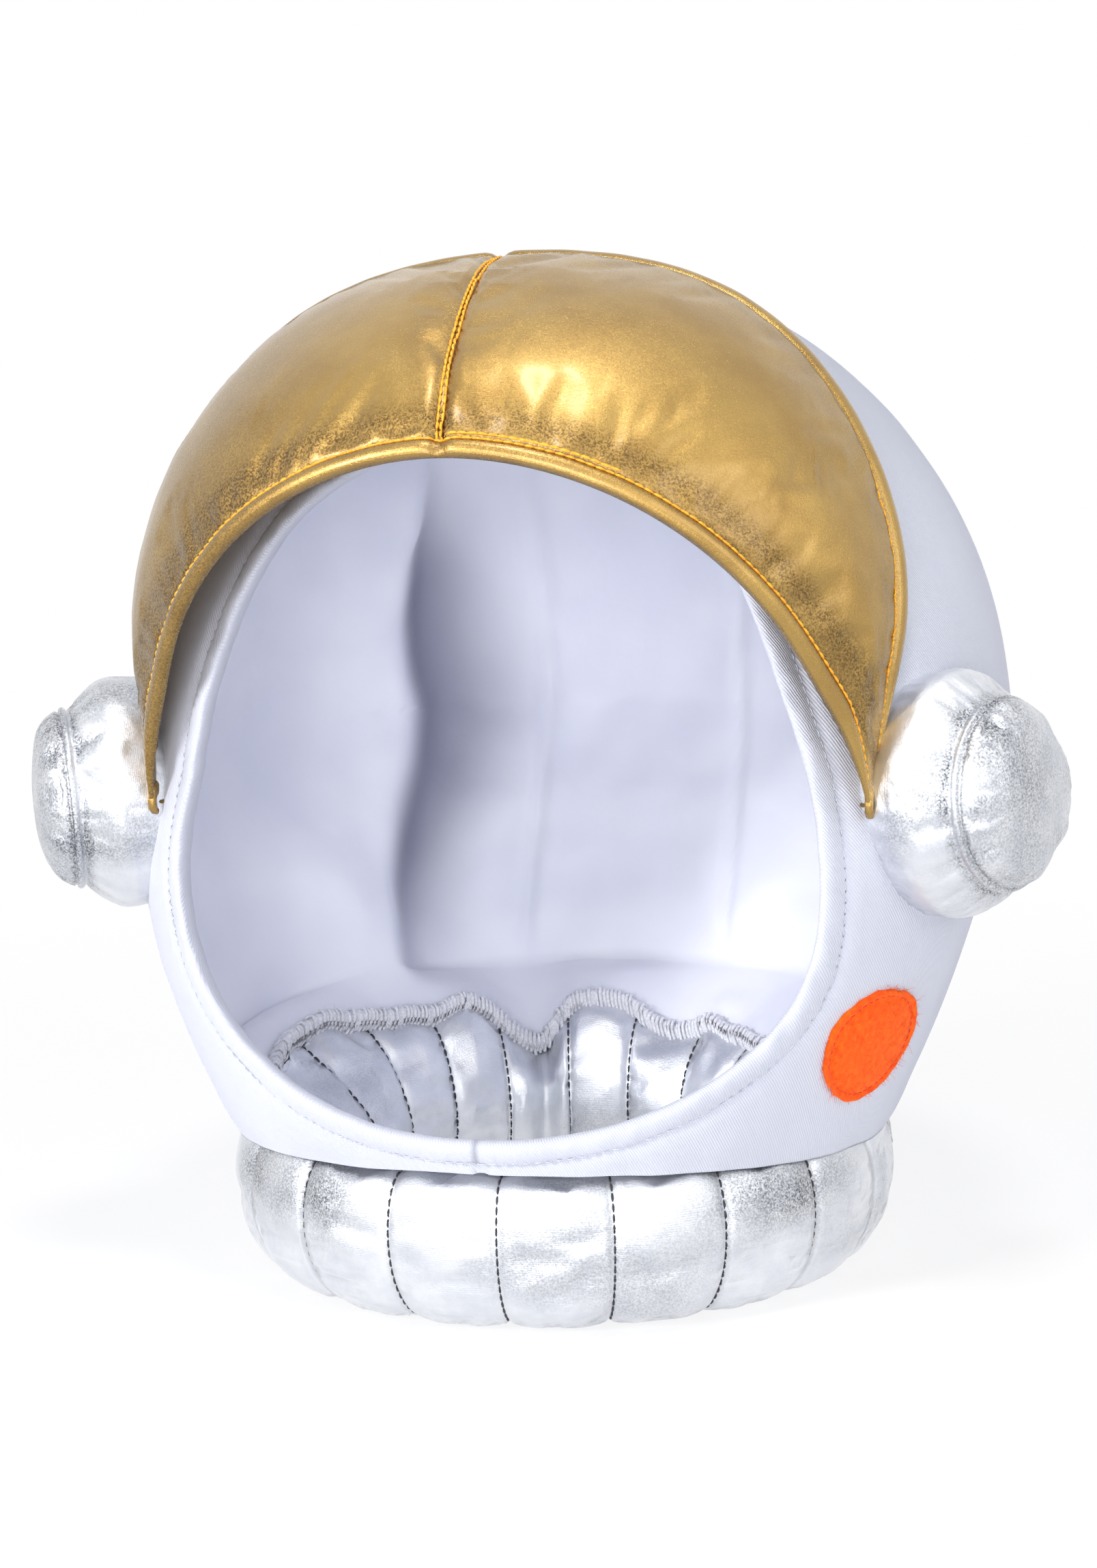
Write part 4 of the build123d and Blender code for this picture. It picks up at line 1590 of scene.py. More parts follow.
@dataclass(frozen=True)
class NeckRing:
    """Quilted silver ring that the helmet stands on."""

    axis_y: float
    edge: NeckEdge
    middle_radius: float = 85.5 * MM
    half_width: float = 23.5 * MM
    half_height: float = 31 * MM
    centre_height: float = 30.5 * MM
    channels: int = 19
    front_turn: float = 3.0
    valley: float = 2.0 * MM
    per_channel: int = 18
    round_section: int = 84
    pinch_turn: float = 110.0
    section_girth: float = 172 * MM
    # Turn from the front and half width of each place with a painted dark reflection, in degrees
    dark_reflection_turns: tuple = ((-50, 13), (-30, 8), (52, 17), (104, 12), (150, 17), (-130, 15))

    def form(self) -> tuple[np.ndarray, np.ndarray]:
        """The ring's cloth before it is stuffed.

        Returns:
            Points as (round the ring, round the section, 3), and each column's place in its channel,
            from -1 at one stitch line to 1 at the next.
        """
        count = self.channels * self.per_channel
        turn = np.radians(-90 + self.front_turn) + circle(count)
        place = (np.arange(count) % self.per_channel) / self.per_channel * 2 - 1
        section = circle(self.round_section)
        drawn = (self.valley * np.abs(place) ** 3.2)[:, None]
        # Behind, where the cover's ends are gathered, the ring is pinched in
        pinch = hill(half_turns(np.degrees(turn) - self.pinch_turn), 0, 3.4)[:, None]
        wide = self.half_width - drawn - 6.0 * MM * pinch * (np.cos(section) < 0.2)
        high = self.half_height - drawn - 4.0 * MM * pinch
        radius = self.middle_radius + wide * np.cos(section)[None]
        height = self.centre_height + high * np.sin(section)[None]
        # The cloth is pulled up to the overlocked edge along the inside of the top
        pulled = hill(np.degrees(section), 122, 34)[None]
        edge_height, edge_radius = self.edge.lift(turn + math.pi / 2)
        height = height + pulled * (edge_height - 59 * MM)[:, None]
        radius = radius + pulled * (edge_radius - self.edge.radius)[:, None]
        # Under the chin the shell presses the ring's inner half down
        chin = hill(half_turns(np.degrees(turn) + 90), 0, 75)[:, None]
        upper, inner = smoothstep(20 * MM, 58 * MM, height), smoothstep(-108, -92, -radius / MM)
        height = height - 8 * MM * chin * upper * inner
        points = np.stack([
            radius * np.cos(turn)[:, None],
            self.axis_y + radius * np.sin(turn)[:, None],
            np.maximum(height, 0.4 * MM),
        ], axis=-1)
        return points, place

    def cover(self) -> bpy.types.Object:
        """Stuffed cover with its channels.

        Returns:
            The piece.
        """
        points, place = self.form()
        section = np.arange(self.round_section) / self.round_section
        chart = flat(circle(len(points)) * self.middle_radius, section * self.section_girth)
        # A few places on the ring's shoulder are painted darker: painted dark reflections
        turn = np.degrees(np.arctan2(points[..., 0], self.axis_y - points[..., 1]))
        painted_shade = sum(hill(half_turns(turn - at), 0, wide) for at, wide in self.dark_reflection_turns)
        painted_shade = painted_shade * hill(points[..., 2], 40 * MM, 11 * MM) * (0.8 + 0.5 * cloud(points, 12 * MM, 5.5))
        radius = np.hypot(points[..., 0], points[..., 1] - self.axis_y)
        painted_shade = np.clip(painted_shade, 0, 1) * smoothstep(92 * MM, 98 * MM, radius)
        cloth = Cloth()
        cloth.grid(points, wrap_u=True, wrap_v=True, chart=chart, painted_shade=painted_shade)
        piece = cloth.build("neck_ring_quilting", closed=True)
        # The seams hold it, and the table under it
        held = (np.abs(place) > 0.99)[:, None] | (points[..., 2] < 1.5 * MM)
        Stuffing(pressure=2.0, spare_cloth=0.035, reach=1.6 * MM).press(piece, held.ravel().astype(float))
        for vertex in piece.data.vertices:
            vertex.co.z = max(vertex.co.z, 0.3 * MM)
        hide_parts("neck_ring_cover_left", "neck_ring_cover_right", "neck_ring_filling")
        dress(piece, SILVER, Body.HELMET)
        return piece

    def stitches(self, cover: bpy.types.Object) -> None:
        """Dark machine stitches down each channel line.

        Args:
            cover: The stuffed cover, whose own points carry the seams.
        """
        grid = points_of(cover.data).reshape(-1, self.round_section, 3)
        cloth = Cloth()
        # Each row starts and ends where the ring comes up off the table
        underside = round(self.round_section * 0.75)
        order = np.roll(np.arange(self.round_section), -underside)[5:-5]
        for i in range(self.channels):
            line = grid[i * self.per_channel][order]
            middle = unit(line[:, :2] - [0, self.axis_y]) * self.middle_radius + [0, self.axis_y]
            out = unit(np.column_stack([line[:, :2] - middle, line[:, 2] - self.centre_height]))
            Stitch(radius=0.36 * MM).run(cloth, line, out, lift=0.4 * MM)
        dress(cloth.build("neck_ring_stitches"), RING_THREAD, Body.HELMET)


@dataclass(frozen=True)
class EarPuff:
    """Stuffed drum that stands square to the shell."""

    egg: Egg
    side: Side
    forward: float = 35.5 * MM
    height: float = 157.5 * MM
    turn: float = 26.0
    tilt: float = 3.5
    belly_radius: float = 36.9 * MM
    rim_radius: float = 29.2 * MM
    rise: float = 21.6 * MM
    crown: float = 12.5 * MM
    sunk: float = 9 * MM
    girth_radius: float = 36 * MM
    places: int = 150

    def frame(self) -> Matrix:
        """Places the drum: its own Z points out of the shell, and both puffs lean a little one way.

        Returns:
            The matrix from the drum's frame to the helmet's.
        """
        root, _ = self.egg.spot(self.side, self.forward, self.height)
        turn, tilt = math.radians(self.turn), math.radians(self.tilt * self.side.value)
        level = math.cos(tilt)
        facing = Vector((self.side.value * math.cos(turn) * level, -math.sin(turn) * level, math.sin(tilt)))
        across = Vector((0, 0, 1)).cross(facing).normalized()
        matrix = Matrix((across, facing.cross(across), facing)).transposed().to_4x4()
        matrix.translation = root
        return matrix

    def profile(self) -> np.ndarray:
        """Radius and rise from under the shell, up the wall, over the seam and the cap.

        Returns:
            Rows of radius, rise and the share by which the seam holds it.
        """
        belly, rim = self.belly_radius, self.rim_radius
        wall_points = np.array([
            (belly * 0.6, -self.sunk - 2 * MM), (belly * 0.95, -self.sunk), (belly, -1 * MM),
            (belly, self.rise * 0.35), (rim + 2.6 * MM, self.rise * 0.78),
            (rim - 0.7 * MM, self.rise - 1.2 * MM),
        ])
        wall = clamped_curve(wall_points, np.array([1.0, 0]), np.array([-0.5, 0.86]), np.linspace(0, 1, 44))
        # Between wall and cap the two allowances fold down into a narrow ridge
        ridge = np.array([(0.2, -0.6), (0.6, 0.1), (0.5, 0.9), (0.0, 1.4), (-0.8, 1.4)]) * MM
        ridge = ridge + [rim, self.rise]
        turn = np.linspace(0.03, 1, 34) * math.pi / 2
        cap = np.stack([
            (rim - 1.2 * MM) * np.cos(turn) ** 0.8 + 0.3 * MM,
            self.rise + 1.2 * MM + (self.crown - 1.2 * MM) * np.sin(turn) ** 0.85,
        ], axis=1)
        rows = np.concatenate([wall, ridge, cap])
        # Sewn down at its foot and along the seam, and the cap's middle gives a little
        held = np.zeros(len(rows))
        held[:8] = 1
        held[8:24] = np.linspace(0.95, 0, 16)
        held[len(wall) - 1:len(wall) + len(ridge) + 1] = 1
        held[len(wall) + len(ridge) + 1:] = 0.7 * smoothstep(-0.9, -0.2, -cap[1:, 0] / rim)
        return np.column_stack([rows, held])

    def puff(self) -> None:
        """Wall and cap, stuffed and puckered along their seam."""
        rows = self.profile()
        turn = circle(self.places)
        radius, rise, held = (np.tile(rows[:, k], (self.places, 1)) for k in range(3))
        seed = 3.0 if self.side is Side.LEFT else 11.0
        seam = np.stack([np.cos(turn), np.sin(turn), np.full(self.places, seed)], axis=-1)[:, None]
        seam = seam * self.girth_radius
        # Tucks run out of the seam, a few strong ones among many small
        gather = cloud(seam, 8 * MM, seed) + 0.4 * cloud(seam, 3.4 * MM, seed + 2)
        strong = np.maximum(cloud(seam, 20 * MM, seed + 5), 0) * 2
        to_seam = np.abs(rise - self.rise)
        on_wall = np.exp(-to_seam / (6 * MM)) * smoothstep(1.2 * MM, 3 * MM, to_seam) * (rise < self.rise)
        radius += (gather * 0.9 - strong * 0.8) * on_wall * 1.5 * MM
        from_rim = self.rim_radius - radius
        on_cap = np.exp(-from_rim / (4.5 * MM)) * smoothstep(0.8 * MM, 2.4 * MM, from_rim)
        on_cap = on_cap * (rise > self.rise)
        rise += (gather * 0.8 - strong) * on_cap * 2.2 * MM
        lumps = self._turned(turn, radius, rise)
        soft = cloud(lumps, 24 * MM, seed + 1)
        radius += soft * 0.9 * MM * (rise < self.rise - 3 * MM)
        rise += soft * 0.9 * MM * smoothstep(6 * MM, 14 * MM, from_rim) * (rise > self.rise)
        matrix = np.array(self.frame())
        points = self._turned(turn, radius, rise) @ matrix[:3, :3].T + matrix[:3, 3]
        chart = flat(turn * self.girth_radius, along(rows[:, :2]))
        # Painted shade in the tucks and along the seam
        painted_shade = np.abs(gather) * (on_wall + on_cap) * 1.6 + 0.5 * hill(to_seam, 2.2 * MM, 1.5 * MM)
        # The caps are painted darker, the wearer's right one most, and the wall in random patches: painted
        # shade and painted dark reflections
        cap_shade = 0.26 if self.side is Side.LEFT else 0.42
        painted_shade = painted_shade + cap_shade * (rise > self.rise) * (1 + 0.5 * soft)
        painted_shade = painted_shade + smoothstep(0.15, 0.8, cloud(lumps, 30 * MM, seed + 7)) * 0.7 * (rise < self.rise)
        cloth = Cloth()
        cloth.grid(points, wrap_u=True, chart=chart, painted_shade=painted_shade)
        for column in (len(rows) - 1, 0):
            cloth.close(i * len(rows) + column for i in range(self.places))
        piece = cloth.build(f"ear_puff_{self.side.word}", closed=True)
        Stuffing(pressure=3.0, spare_cloth=0.02, reach=1.5 * MM).press(piece, held.ravel())
        word = self.side.word
        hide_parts(f"ear_wall_{word}", f"ear_cap_{word}", f"ear_filling_{word}", f"ear_base_{word}")
        dress(piece, SILVER, Body.HELMET)

    @staticmethod
    def _turned(turn: np.ndarray, radius: np.ndarray, rise: np.ndarray) -> np.ndarray:
        """Points of the drum in its own frame.

        Args:
            turn: Angle of each row, in radians.
            radius: Radii as (row, column).
            rise: Rises as (row, column).

        Returns:
            Points as (row, column, 3).
        """
        return np.stack([radius * np.cos(turn)[:, None], radius * np.sin(turn)[:, None], rise], axis=-1)


@dataclass(frozen=True)
class FeltDot:
    """Round felt patch sewn to the wearer's left cheek."""

    egg: Egg
    radius: float = 21.5 * MM
    height: float = 82 * MM
    forward: float = 53 * MM
    stitch_in: float = 2.4 * MM

    def surface(self, across: np.ndarray, up: np.ndarray, lift: float | np.ndarray) -> np.ndarray:
        """Lays flat patch coordinates on the cheek.

        Args:
            across: Distances along the cheek.
            up: Distances up the cheek.
            lift: Distance out of the cheek.

        Returns:
            Points on or above the shell.
        """
        middle, facing = self.egg.spot(Side.LEFT, self.forward, self.height)
        level = Vector((0, 0, 1)).cross(facing).normalized()
        spots = np.array(middle) + across[..., None] * np.array(level) + up[..., None] * [0, 0, 1.0]
        return self.egg.hit(unit(spots - self.egg.middle), -np.asarray(lift))

    def patch(self) -> None:
        """The felt with its cut edge and the dip of its stitching."""
        places = 120
        turn = circle(places)
        uneven = 1 + 0.02 * np.sin(3 * turn + 0.5) + 0.012 * np.sin(7 * turn + 2) + 0.008 * np.sin(19 * turn)
        # Share of the radius and height of each ring, from the middle over the stitches' dip to the cut edge
        rings = np.array([0.02, 0.2, 0.4, 0.58, 0.72, 0.8, 0.845, 0.875, 0.905, 0.94, 0.975, 1.0, 1.005, 1.0])
        lifts = np.array([1.7, 1.7, 1.65, 1.6, 1.5, 1.35, 1.0, 0.8, 1.0, 1.45, 1.6, 1.35, 0.7, 0.1]) * MM
        reach = self.radius * rings[None, :] * (1 + (uneven[:, None] - 1) * rings[None, :] ** 2)
        across, up = reach * np.cos(turn)[:, None], reach * np.sin(turn)[:, None]
        mat = cloud(np.stack([across, up, np.zeros_like(up)], axis=-1), 3 * MM, 1.0) * 0.25 * MM
        lift = np.maximum(lifts[None, :] + mat * (lifts[None, :] > 0.5 * MM), 0.05 * MM)
        cloth = Cloth()
        cloth.grid(self.surface(across, up, lift), wrap_u=True)
        cloth.close(i * len(rings) for i in reversed(range(places)))
        self._fuzz(cloth)
        piece = cloth.build("felt_patch")
        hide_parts("felt_dot")
        dress(piece, FELT, Body.HELMET)

    def _fuzz(self, cloth: Cloth) -> None:
        """Adds short fibres over the face and round the cut edge.

        Args:
            cloth: Mesh that they join.
        """
        chance = np.random.default_rng(3)
        for _ in range(900):
            turn = chance.uniform(0, 2 * math.pi)
            # Half of them grow from the cut edge
            reach = self.radius * (0.995 if chance.random() < 0.5 else math.sqrt(chance.random()))
            lift = 1.2 * MM if reach < self.radius * 0.95 else 0.6 * MM
            root = self.surface(np.array(reach * math.cos(turn)), np.array(reach * math.sin(turn)), lift)
            out = unit(root - self.egg.middle)
            way = chance.normal(0, 1, 3)
            length = chance.uniform(0.6, 1.8) * MM
            bend = chance.normal(0, 0.5, 3) * length
            cloth.fibre(root, (way * 0.6 + out * 0.5) * length, bend, (0.07, 0.03))

    def stitches(self) -> None:
        """Stitching just inside the cut edge."""
        turn = np.linspace(0, 2 * math.pi, 181)
        reach = self.radius - self.stitch_in
        line = self.surface(reach * np.cos(turn), reach * np.sin(turn), 0.95 * MM)
        cloth = Cloth()
        stitch = Stitch(pitch=2.6 * MM, length=2.0 * MM, radius=0.25 * MM)
        stitch.run(cloth, line, unit(line - self.egg.middle))
        dress(cloth.build("felt_stitches"), FELT_THREAD, Body.HELMET)


@dataclass(frozen=True)
class Visor:
    """Padded gold crescent that swings on its tacks."""

    hinge_y: float
    hinge_z: float
    front_angle: float = 29.0
    back_angle: float = -15.0
    front_reach: float = 122 * MM
    back_reach: float = 173 * MM
    front_half_width: float = 105.5 * MM
    back_half_width: float = 121.5 * MM
    tip_radius: float = 5 * MM
    tip_half_width: float = 113.5 * MM
    tail: float = 7.5 * MM
    padding: float = 8 * MM
    band: float = 6.5 * MM
    places: int = 260
    # Shares of half width and reach along each edge, from beside the tack to the middle
    front_shares: tuple = ((1.0, 0.26), (0.88, 0.51), (0.52, 0.86), (0.0, 1.0))
    back_shares: tuple = ((1.0, 0.3), (0.95, 0.56), (0.56, 0.91), (0.0, 1.0))

    @property
    def hinge(self) -> np.ndarray:
        """Middle of the line that it swings on, under the whole crescent."""
        return np.array([0, self.hinge_y, self.hinge_z])

    def middle_surface(self, across: np.ndarray) -> np.ndarray:
        """The crescent's middle layer.

        Args:
            across: Shares from the front edge to the back edge, one row for each place along it.

        Returns:
            Points as (along from the wearer's left tip to the right tip, across, 3).
        """
        half = self.places // 2 + 1
        step = np.linspace(0, 1, 49)
        lines = []
        for share in step:
            points = [(self.tip_half_width, self.tip_radius)]
            for front, back in zip(self.front_shares, self.back_shares):
                side = self.front_half_width * front[0] * (1 - share) + self.back_half_width * back[0] * share
                reach = self.front_reach * front[1] * (1 - share) + self.back_reach * back[1] * share
                points.append((side, reach))
            start, end = np.array([0.0, 1]), np.array([-1.0, 0])
            line = clamped_curve(np.array(points), start, end, np.linspace(0, 1, half))
            angle = math.radians(self.front_angle + (self.back_angle - self.front_angle) * share)
            lines.append(np.stack([
                line[:, 0],
                self.hinge_y - line[:, 1] * math.sin(angle),
                self.hinge_z + line[:, 1] * math.cos(angle),
            ], axis=-1))
        table = np.stack(lines, axis=1)
        # The ends run on a little past the tacks, under the ear puffs
        far = np.hypot(table[..., 1] - self.hinge_y, table[..., 2] - self.hinge_z)
        table[..., 2] -= self.tail * smoothstep(-34, 0, -far / MM)
        table = np.concatenate([table, table[-2::-1] * [-1, 1, 1]], axis=0)
        place = across * (len(step) - 1)
        low = np.clip(np.floor(place).astype(int), 0, len(step) - 2)
        part = (place - low)[..., None]
        rows = np.arange(len(table))[:, None]
        return table[rows, low] * (1 - part) + table[rows, low + 1] * part

    def layout(self) -> tuple[np.ndarray, np.ndarray, np.ndarray]:
        """Middle layer, distance from the nearer edge and thickness above the middle layer.

        Returns:
            Three arrays over the crescent's grid.
        """
        samples = np.linspace(0, 1, 25)
        coarse = np.broadcast_to(samples, (self.places // 2 * 2 + 1, len(samples)))
        width = np.linalg.norm(np.diff(self.middle_surface(coarse), axis=1), axis=2).sum(axis=1)
        # Columns lie close at each edge, for its roll and its stitch groove, and squeeze up at the tips
        edge = np.array([0, 0.35, 1.0, 2.0, 3.2, 4.4, 5.3, 6.0, 6.5, 7.0, 7.8, 9.0, 11.0, 14.0]) * MM
        squeeze = np.minimum(1, width / (34 * MM))[:, None]
        front = edge[None] * squeeze / width[:, None]
        inner = front[:, -1:] + (1 - 2 * front[:, -1:]) * np.linspace(0, 1, 34)[None, 1:-1]
        across = np.concatenate([front, inner, 1 - front[:, ::-1]], axis=1)
        from_edge = np.minimum(across, 1 - across) * width[:, None]
        d = from_edge / np.maximum(squeeze, 0.05)
        thin = 1.4 * MM
        roll = 2.6 * MM * np.sqrt(np.clip(1 - ((d - 3.0 * MM) / (3.6 * MM)) ** 2, 0.04, 1))
        puff = thin + (self.padding / 2 - thin) * np.clip((d - self.band) / (30 * MM), 0, 1) ** 0.6
        half = np.where(d < self.band, np.maximum(roll, thin * smoothstep(0, 2 * MM, d)), puff)
        half = half - 0.5 * MM * hill(d, self.band, 1.0 * MM)
        half = half * (0.2 + 0.8 * smoothstep(0, 30 * MM, width))[:, None]
        return self.middle_surface(across), from_edge, half

    def pad(self) -> np.ndarray:
        """The stuffed crescent with its rolled edges, stitch grooves and centre seam.

        Returns:
            Its upper grid's points, for the stitching.
        """
        surface, from_edge, half = self.layout()
        out = grid_normals(surface, self.hinge)
        x = surface[..., 0]
        columns = surface.shape[1]
        seam = hill(x, self.seam_x(columns), 2.4 * MM)
        beside = np.abs(x - self.seam_x(columns))
        inside = smoothstep(7 * MM, 16 * MM, from_edge)
        near_front = smoothstep(1.0, 0.0, np.linspace(0, 1, columns))[None] ** 1.5
        tucks = cloud(surface * [1.0, 0.35, 0.35], 7 * MM, 4.0)
        fan = np.exp(-beside / (22 * MM)) * near_front * inside
        puckers = cloud(surface, 9 * MM, 12.0) * np.exp(-np.abs(from_edge - 9 * MM) / (5 * MM))
        # Tucks fan out from the seam's front end, and the stitching puckers the cloth beside the rolls
        height = half + fan * 1.3 * MM * tucks + puckers * 0.55 * MM - seam * 2.0 * MM
        height = height + 0.9 * MM * cloud(surface, 42 * MM, 2.0) * inside
        # To the wearer's right of the seam the cloth is slack and folds slantwise
        slant = np.stack([x - 0.6 * from_edge, from_edge * 0.22, np.zeros_like(x)], axis=-1)
        slack = hill(x, -33 * MM, 20 * MM) * inside * smoothstep(-48, -20, -from_edge / MM) * near_front
        height = height + 2.4 * MM * slack * cloud(slant, 8 * MM, 7.0)
        top = surface + out * height[..., None]
        bottom = surface - out * (half * 0.8)[..., None]
        width = along(surface[self.places // 2])
        chart = flat(along(surface[:, columns // 2]), np.concatenate([width, width[::-1]]))
        # Painted shade inside both rolls, most beside the front edge, at the centre seam and in the stitch
        # grooves, and a painted dark reflection towards the wearer's right
        front_first = np.arange(columns) < columns / 2
        painted_shade = hill(from_edge, 13 * MM, 6 * MM) * np.where(front_first, 0.9, 0.25) + seam * 0.5
        painted_shade = painted_shade + 0.5 * smoothstep(25, 80, -x / MM) + hill(from_edge, self.band, 1.2 * MM) * 0.6
        painted_shade = np.concatenate([painted_shade, painted_shade[:, ::-1]], axis=1)
        cloth = Cloth()
        cloth.grid(np.concatenate([top, bottom[:, ::-1]], axis=1), wrap_v=True, chart=chart, painted_shade=painted_shade)
        count = 2 * columns
        for row in (0, len(top) - 1):
            cloth.close(row * count + i for i in range(count))
        piece = cloth.build("visor_pad", closed=True)
        # Its edges, seam, ends and underside are held, and the filling presses its top out
        held = ((from_edge < self.band + 0.8 * MM) | (seam > 0.6)).astype(float)
        held[:3] = held[-3:] = 1
        both = np.concatenate([held, np.ones_like(held)], axis=1)
        Stuffing(pressure=2.0, spare_cloth=0.009, reach=1.5 * MM, bending=0.5).press(piece, both.ravel())
        grid = points_of(piece.data).reshape(len(top), count, 3)[:, :columns]
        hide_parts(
            *(f"visor_{layer}_{side.word}" for layer in ("panel", "foam", "lining") for side in Side)
        )
        dress(piece, GOLD, Body.VISOR)
        return grid

    def seam_x(self, columns: int) -> np.ndarray:
        """Place of the centre seam, which leans to the wearer's right towards the back.

        Args:
            columns: How many columns the crescent's grid has from front to back.

        Returns:
            Its place across for each column, as one row.
        """
        back = np.linspace(0, 1, columns)[None]
        return 1.0 * MM - 8.0 * MM * back ** 1.3

    def stitches(self, grid: np.ndarray) -> None:
        """Golden topstitching inside both edges and beside the centre seam.

        Args:
            grid: Upper points of the pad.
        """
        out = grid_normals(grid, self.hinge)
        cloth = Cloth()
        stitch = Stitch(pitch=3.0 * MM, length=2.8 * MM, radius=0.45 * MM)
        # The groove's column, counted from either edge
        groove = 8
        columns = grid.shape[1]
        for column in (groove, columns - 1 - groove):
            stitch.run(cloth, grid[6:-6, column], out[6:-6, column], lift=0.25 * MM)
        # Right of the seam the machine went over the first stretch twice
        twice = slice(self.places // 2 - 38, self.places // 2 - 1)
        stitch.run(cloth, grid[twice, groove + 2], out[twice, groove + 2], lift=0.25 * MM)
        places = np.arange(groove, columns - groove)
        seam_x = self.seam_x(columns)[0, places]
        for beside in (-0.8 * MM, 0.8 * MM):
            rows = np.argmin(np.abs(grid[:, places, 0] - seam_x - beside), axis=0)
            line = grid[rows, places]
            line[:, 0] = seam_x + beside
            stitch.run(cloth, line, out[rows, places], lift=0.5 * MM)
        dress(cloth.build("visor_stitches"), GOLD_THREAD, Body.VISOR)

    def gathered_end(self, side: Side) -> None:
        """Cloth gathered flat at the crescent's tip, with the hole that its tack goes through.

        Args:
            side: Which end.
        """
        turn = circle(40)
        middle_x = side.value * self.tip_half_width
        # It reaches furthest where the crescent leaves it
        way = math.radians((self.front_angle + self.back_angle) / 2)
        rim = 4.2 * MM + np.maximum(np.cos(turn - way), 0) ** 3 * 2.5 * MM
        fold = 0.35 * MM * np.cos(turn * 9)
        hole = 2.35 * MM
        loops = []
        # Share of the way from the hole to the rim, and distance out of the middle in millimetres
        for share, lift in ((0.0, 0.9), (0.0, 1.2), (0.35, 1.35), (0.75, 1.2), (1.0, 0.6), (1.0, -0.6),
                            (0.75, -1.2), (0.35, -1.35), (0.0, -1.2), (0.0, -0.9)):
            radius = hole + (rim - hole) * share
            loops.append(np.stack([
                middle_x + (lift * MM + fold * share * np.sign(lift) * 0.4) * side.value,
                self.hinge_y - radius * np.sin(turn),
                self.hinge_z + radius * np.cos(turn),
            ], axis=-1))
        cloth = Cloth()
        cloth.grid(np.stack(loops, axis=1), wrap_u=True, wrap_v=True)
        piece = cloth.build(f"visor_end_{side.word}", closed=True)
        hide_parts(f"visor_tab_{side.word}")
        dress(piece, GOLD, Body.VISOR)

    def bar_tack(self, side: Side, shell_x: float) -> None:
        """Turns of strong thread through the gathered end into the shell, with a knot sunk in the end.

        Args:
            side: Which end.
            shell_x: Distance of the shell from the middle where the tack goes in.
        """
        cloth = Cloth()
        head = self.tip_half_width + 0.2 * MM
        out = np.array([shell_x - 6 * MM, head - 0.6 * MM, head, head])
        reach = np.array([0.5, 0.5, 0.5, 0.2]) * MM

        def about_hinge(x: np.ndarray, radius: float | np.ndarray, turn: float | np.ndarray) -> np.ndarray:
            """Points round the hinge line.

            Args:
                x: Distances from the helmet's middle.
                radius: Distances from the hinge line.
                turn: Angles about it, in radians.

            Returns:
                Rows of coordinates.
            """
            y = self.hinge_y + radius * np.cos(turn)
            return np.stack([side.value * x, y, self.hinge_z + radius * np.sin(turn)], axis=-1)

        # Strands that run in side by side, and two turns that knot them
        for turn in circle(8):
            cloth.tube(about_hinge(out, reach, turn), 0.22 * MM, sides=6)
        for radius, x in ((1.1 * MM, head), (0.6 * MM, head + 0.1 * MM)):
            cloth.tube(about_hinge(np.full(16, x), radius, circle(16)), 0.35 * MM, sides=6, closed=True)
        piece = cloth.build(f"bar_tack_{side.word}")
        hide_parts(f"visor_tack_{side.word}")
        dress(piece, TACK_THREAD, Body.HELMET)


# Studio


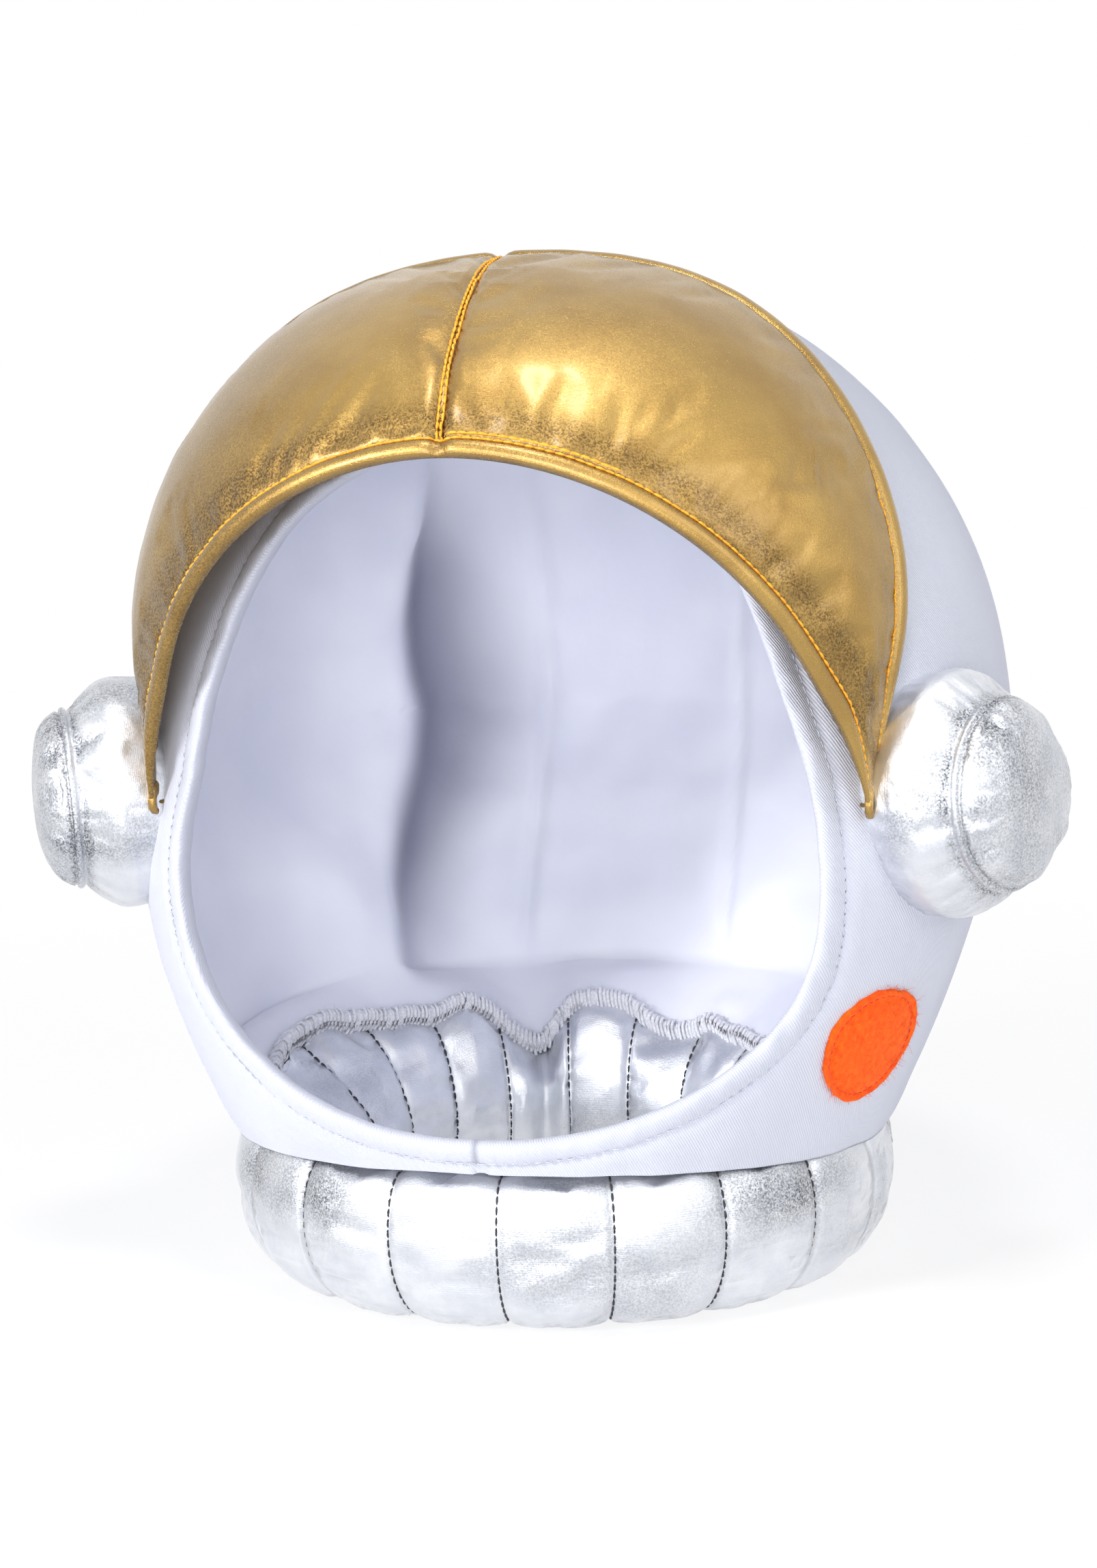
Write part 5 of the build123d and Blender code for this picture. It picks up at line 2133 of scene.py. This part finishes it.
@dataclass(frozen=True)
class Studio:
    """Camera, floor and soft light."""

    target: tuple = (-2.1 * MM, -21.4 * MM, 155.6 * MM)
    azimuth: float = 14.5
    elevation: float = 7.0
    roll: float = -1.6
    distance: float = 0.95
    focal_pixels: float = 4230.0
    image_height: float = 2296.0
    sensor: float = 36.0
    surroundings: float = 0.48
    sky: str = "#e9edf6"

    def camera(self) -> None:
        """Puts the camera where the photograph was taken from."""
        turn, rise, roll = (math.radians(v) for v in (self.azimuth, self.elevation, self.roll))
        back = Vector((math.sin(turn) * math.cos(rise), -math.cos(turn) * math.cos(rise), math.sin(rise)))
        right = Vector((math.cos(turn), math.sin(turn), 0))
        up = back.cross(right)
        x_axis = right * math.cos(roll) + up * math.sin(roll)
        y_axis = up * math.cos(roll) - right * math.sin(roll)
        data = bpy.data.cameras.new("camera")
        data.sensor_fit = "VERTICAL"
        data.sensor_height = self.sensor
        data.lens = self.focal_pixels / self.image_height * self.sensor
        data.clip_start, data.clip_end = 0.05, 30
        camera = bpy.data.objects.new("camera", data)
        matrix = Matrix((x_axis, y_axis, back)).transposed().to_4x4()
        matrix.translation = Vector(self.target) + back * self.distance
        camera.matrix_world = matrix
        bpy.context.scene.collection.objects.link(camera)
        bpy.context.scene.camera = camera

    def floor(self) -> None:
        """Lays a pale sheet, 6 m wide, under the helmet."""
        cloth = Cloth()
        across = np.linspace(-3, 3, 7)
        x, y = np.meshgrid(across, across, indexing="ij")
        cloth.grid(np.stack([x, y, np.zeros_like(x)], axis=-1))
        piece = cloth.build("floor")
        piece.data.materials.append(PAPER.material())

    def lamp(self, name: str, spot: tuple, size: float, power: float, aim: tuple = (0, -0.02, 0.16)) -> None:
        """Hangs a softbox.

        Args:
            name: Name of the lamp.
            spot: Its place.
            size: Its width in metres.
            power: Its power in watts.
            aim: Point that it faces.
        """
        data = bpy.data.lights.new(name, "AREA")
        data.shape = "DISK"
        data.size = size
        data.energy = power
        lamp = bpy.data.objects.new(name, data)
        lamp.location = spot
        lamp.rotation_euler = (Vector(spot) - Vector(aim)).to_track_quat("Z", "Y").to_euler()
        bpy.context.scene.collection.objects.link(lamp)

    def light(self) -> None:
        """Sets the softboxes and the white surroundings."""
        self.lamp("key", (-1.15, -1.6, 0.8), size=0.42, power=24)
        self.lamp("front", (0.2, -2.0, 0.3), size=0.9, power=18)
        self.lamp("side", (1.5, -0.9, 0.9), size=1.0, power=7)
        self.lamp("back", (-0.5, 1.9, 0.12), size=0.4, power=24)
        self.lamp("top", (0.2, -0.6, 2.0), size=0.4, power=13)
        nodes = Nodes("studio", world=True)
        bpy.context.scene.world = nodes.made
        around = nodes.add(
            "ShaderNodeBackground", {"Color": linear(self.sky), "Strength": self.surroundings}
        )
        seen = nodes.add("ShaderNodeBackground", {"Color": (1, 1, 1, 1), "Strength": 1.0})
        mix = nodes.add("ShaderNodeMixShader",
                        {"Fac": seen_or_mirrored(nodes), 1: around.outputs[0], 2: seen.outputs[0]})
        nodes.add("ShaderNodeOutputWorld", {"Surface": mix.outputs[0]})
        bpy.context.scene.view_settings.view_transform = "Standard"


def main() -> None:
    """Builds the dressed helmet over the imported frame."""
    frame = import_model()
    low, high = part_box("neck_ring_filling")
    axis_y = (low[1] + high[1]) / 2
    swing = next(j for j in frame["record"]["behaviour"]["joints"] if j["name"] == "visor_swing")
    hinge_y, hinge_z = swing["pos_m"][1:]
    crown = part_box("outer_crown")[1][2]

    egg = Egg(axis_y=axis_y, crown=crown)
    edge = NeckEdge(axis_y)
    shell = Shell(egg, FaceOpening(egg), edge)
    shell.cover()
    shell.hem()
    shell.hem_stitches()
    shell.lining()
    shell.serged_edge()

    ring = NeckRing(axis_y, edge)
    ring.stitches(ring.cover())

    for side in Side:
        EarPuff(egg, side).puff()

    dot = FeltDot(egg)
    dot.patch()
    dot.stitches()

    visor = Visor(hinge_y, hinge_z)
    visor.stitches(visor.pad())
    shell_x = egg.spot(Side.LEFT, axis_y - hinge_y, hinge_z)[0].x
    for side in Side:
        visor.gathered_end(side)
        visor.bar_tack(side, shell_x)

    studio = Studio()
    studio.camera()
    studio.floor()
    studio.light()


if __name__ == "__main__":
    main()
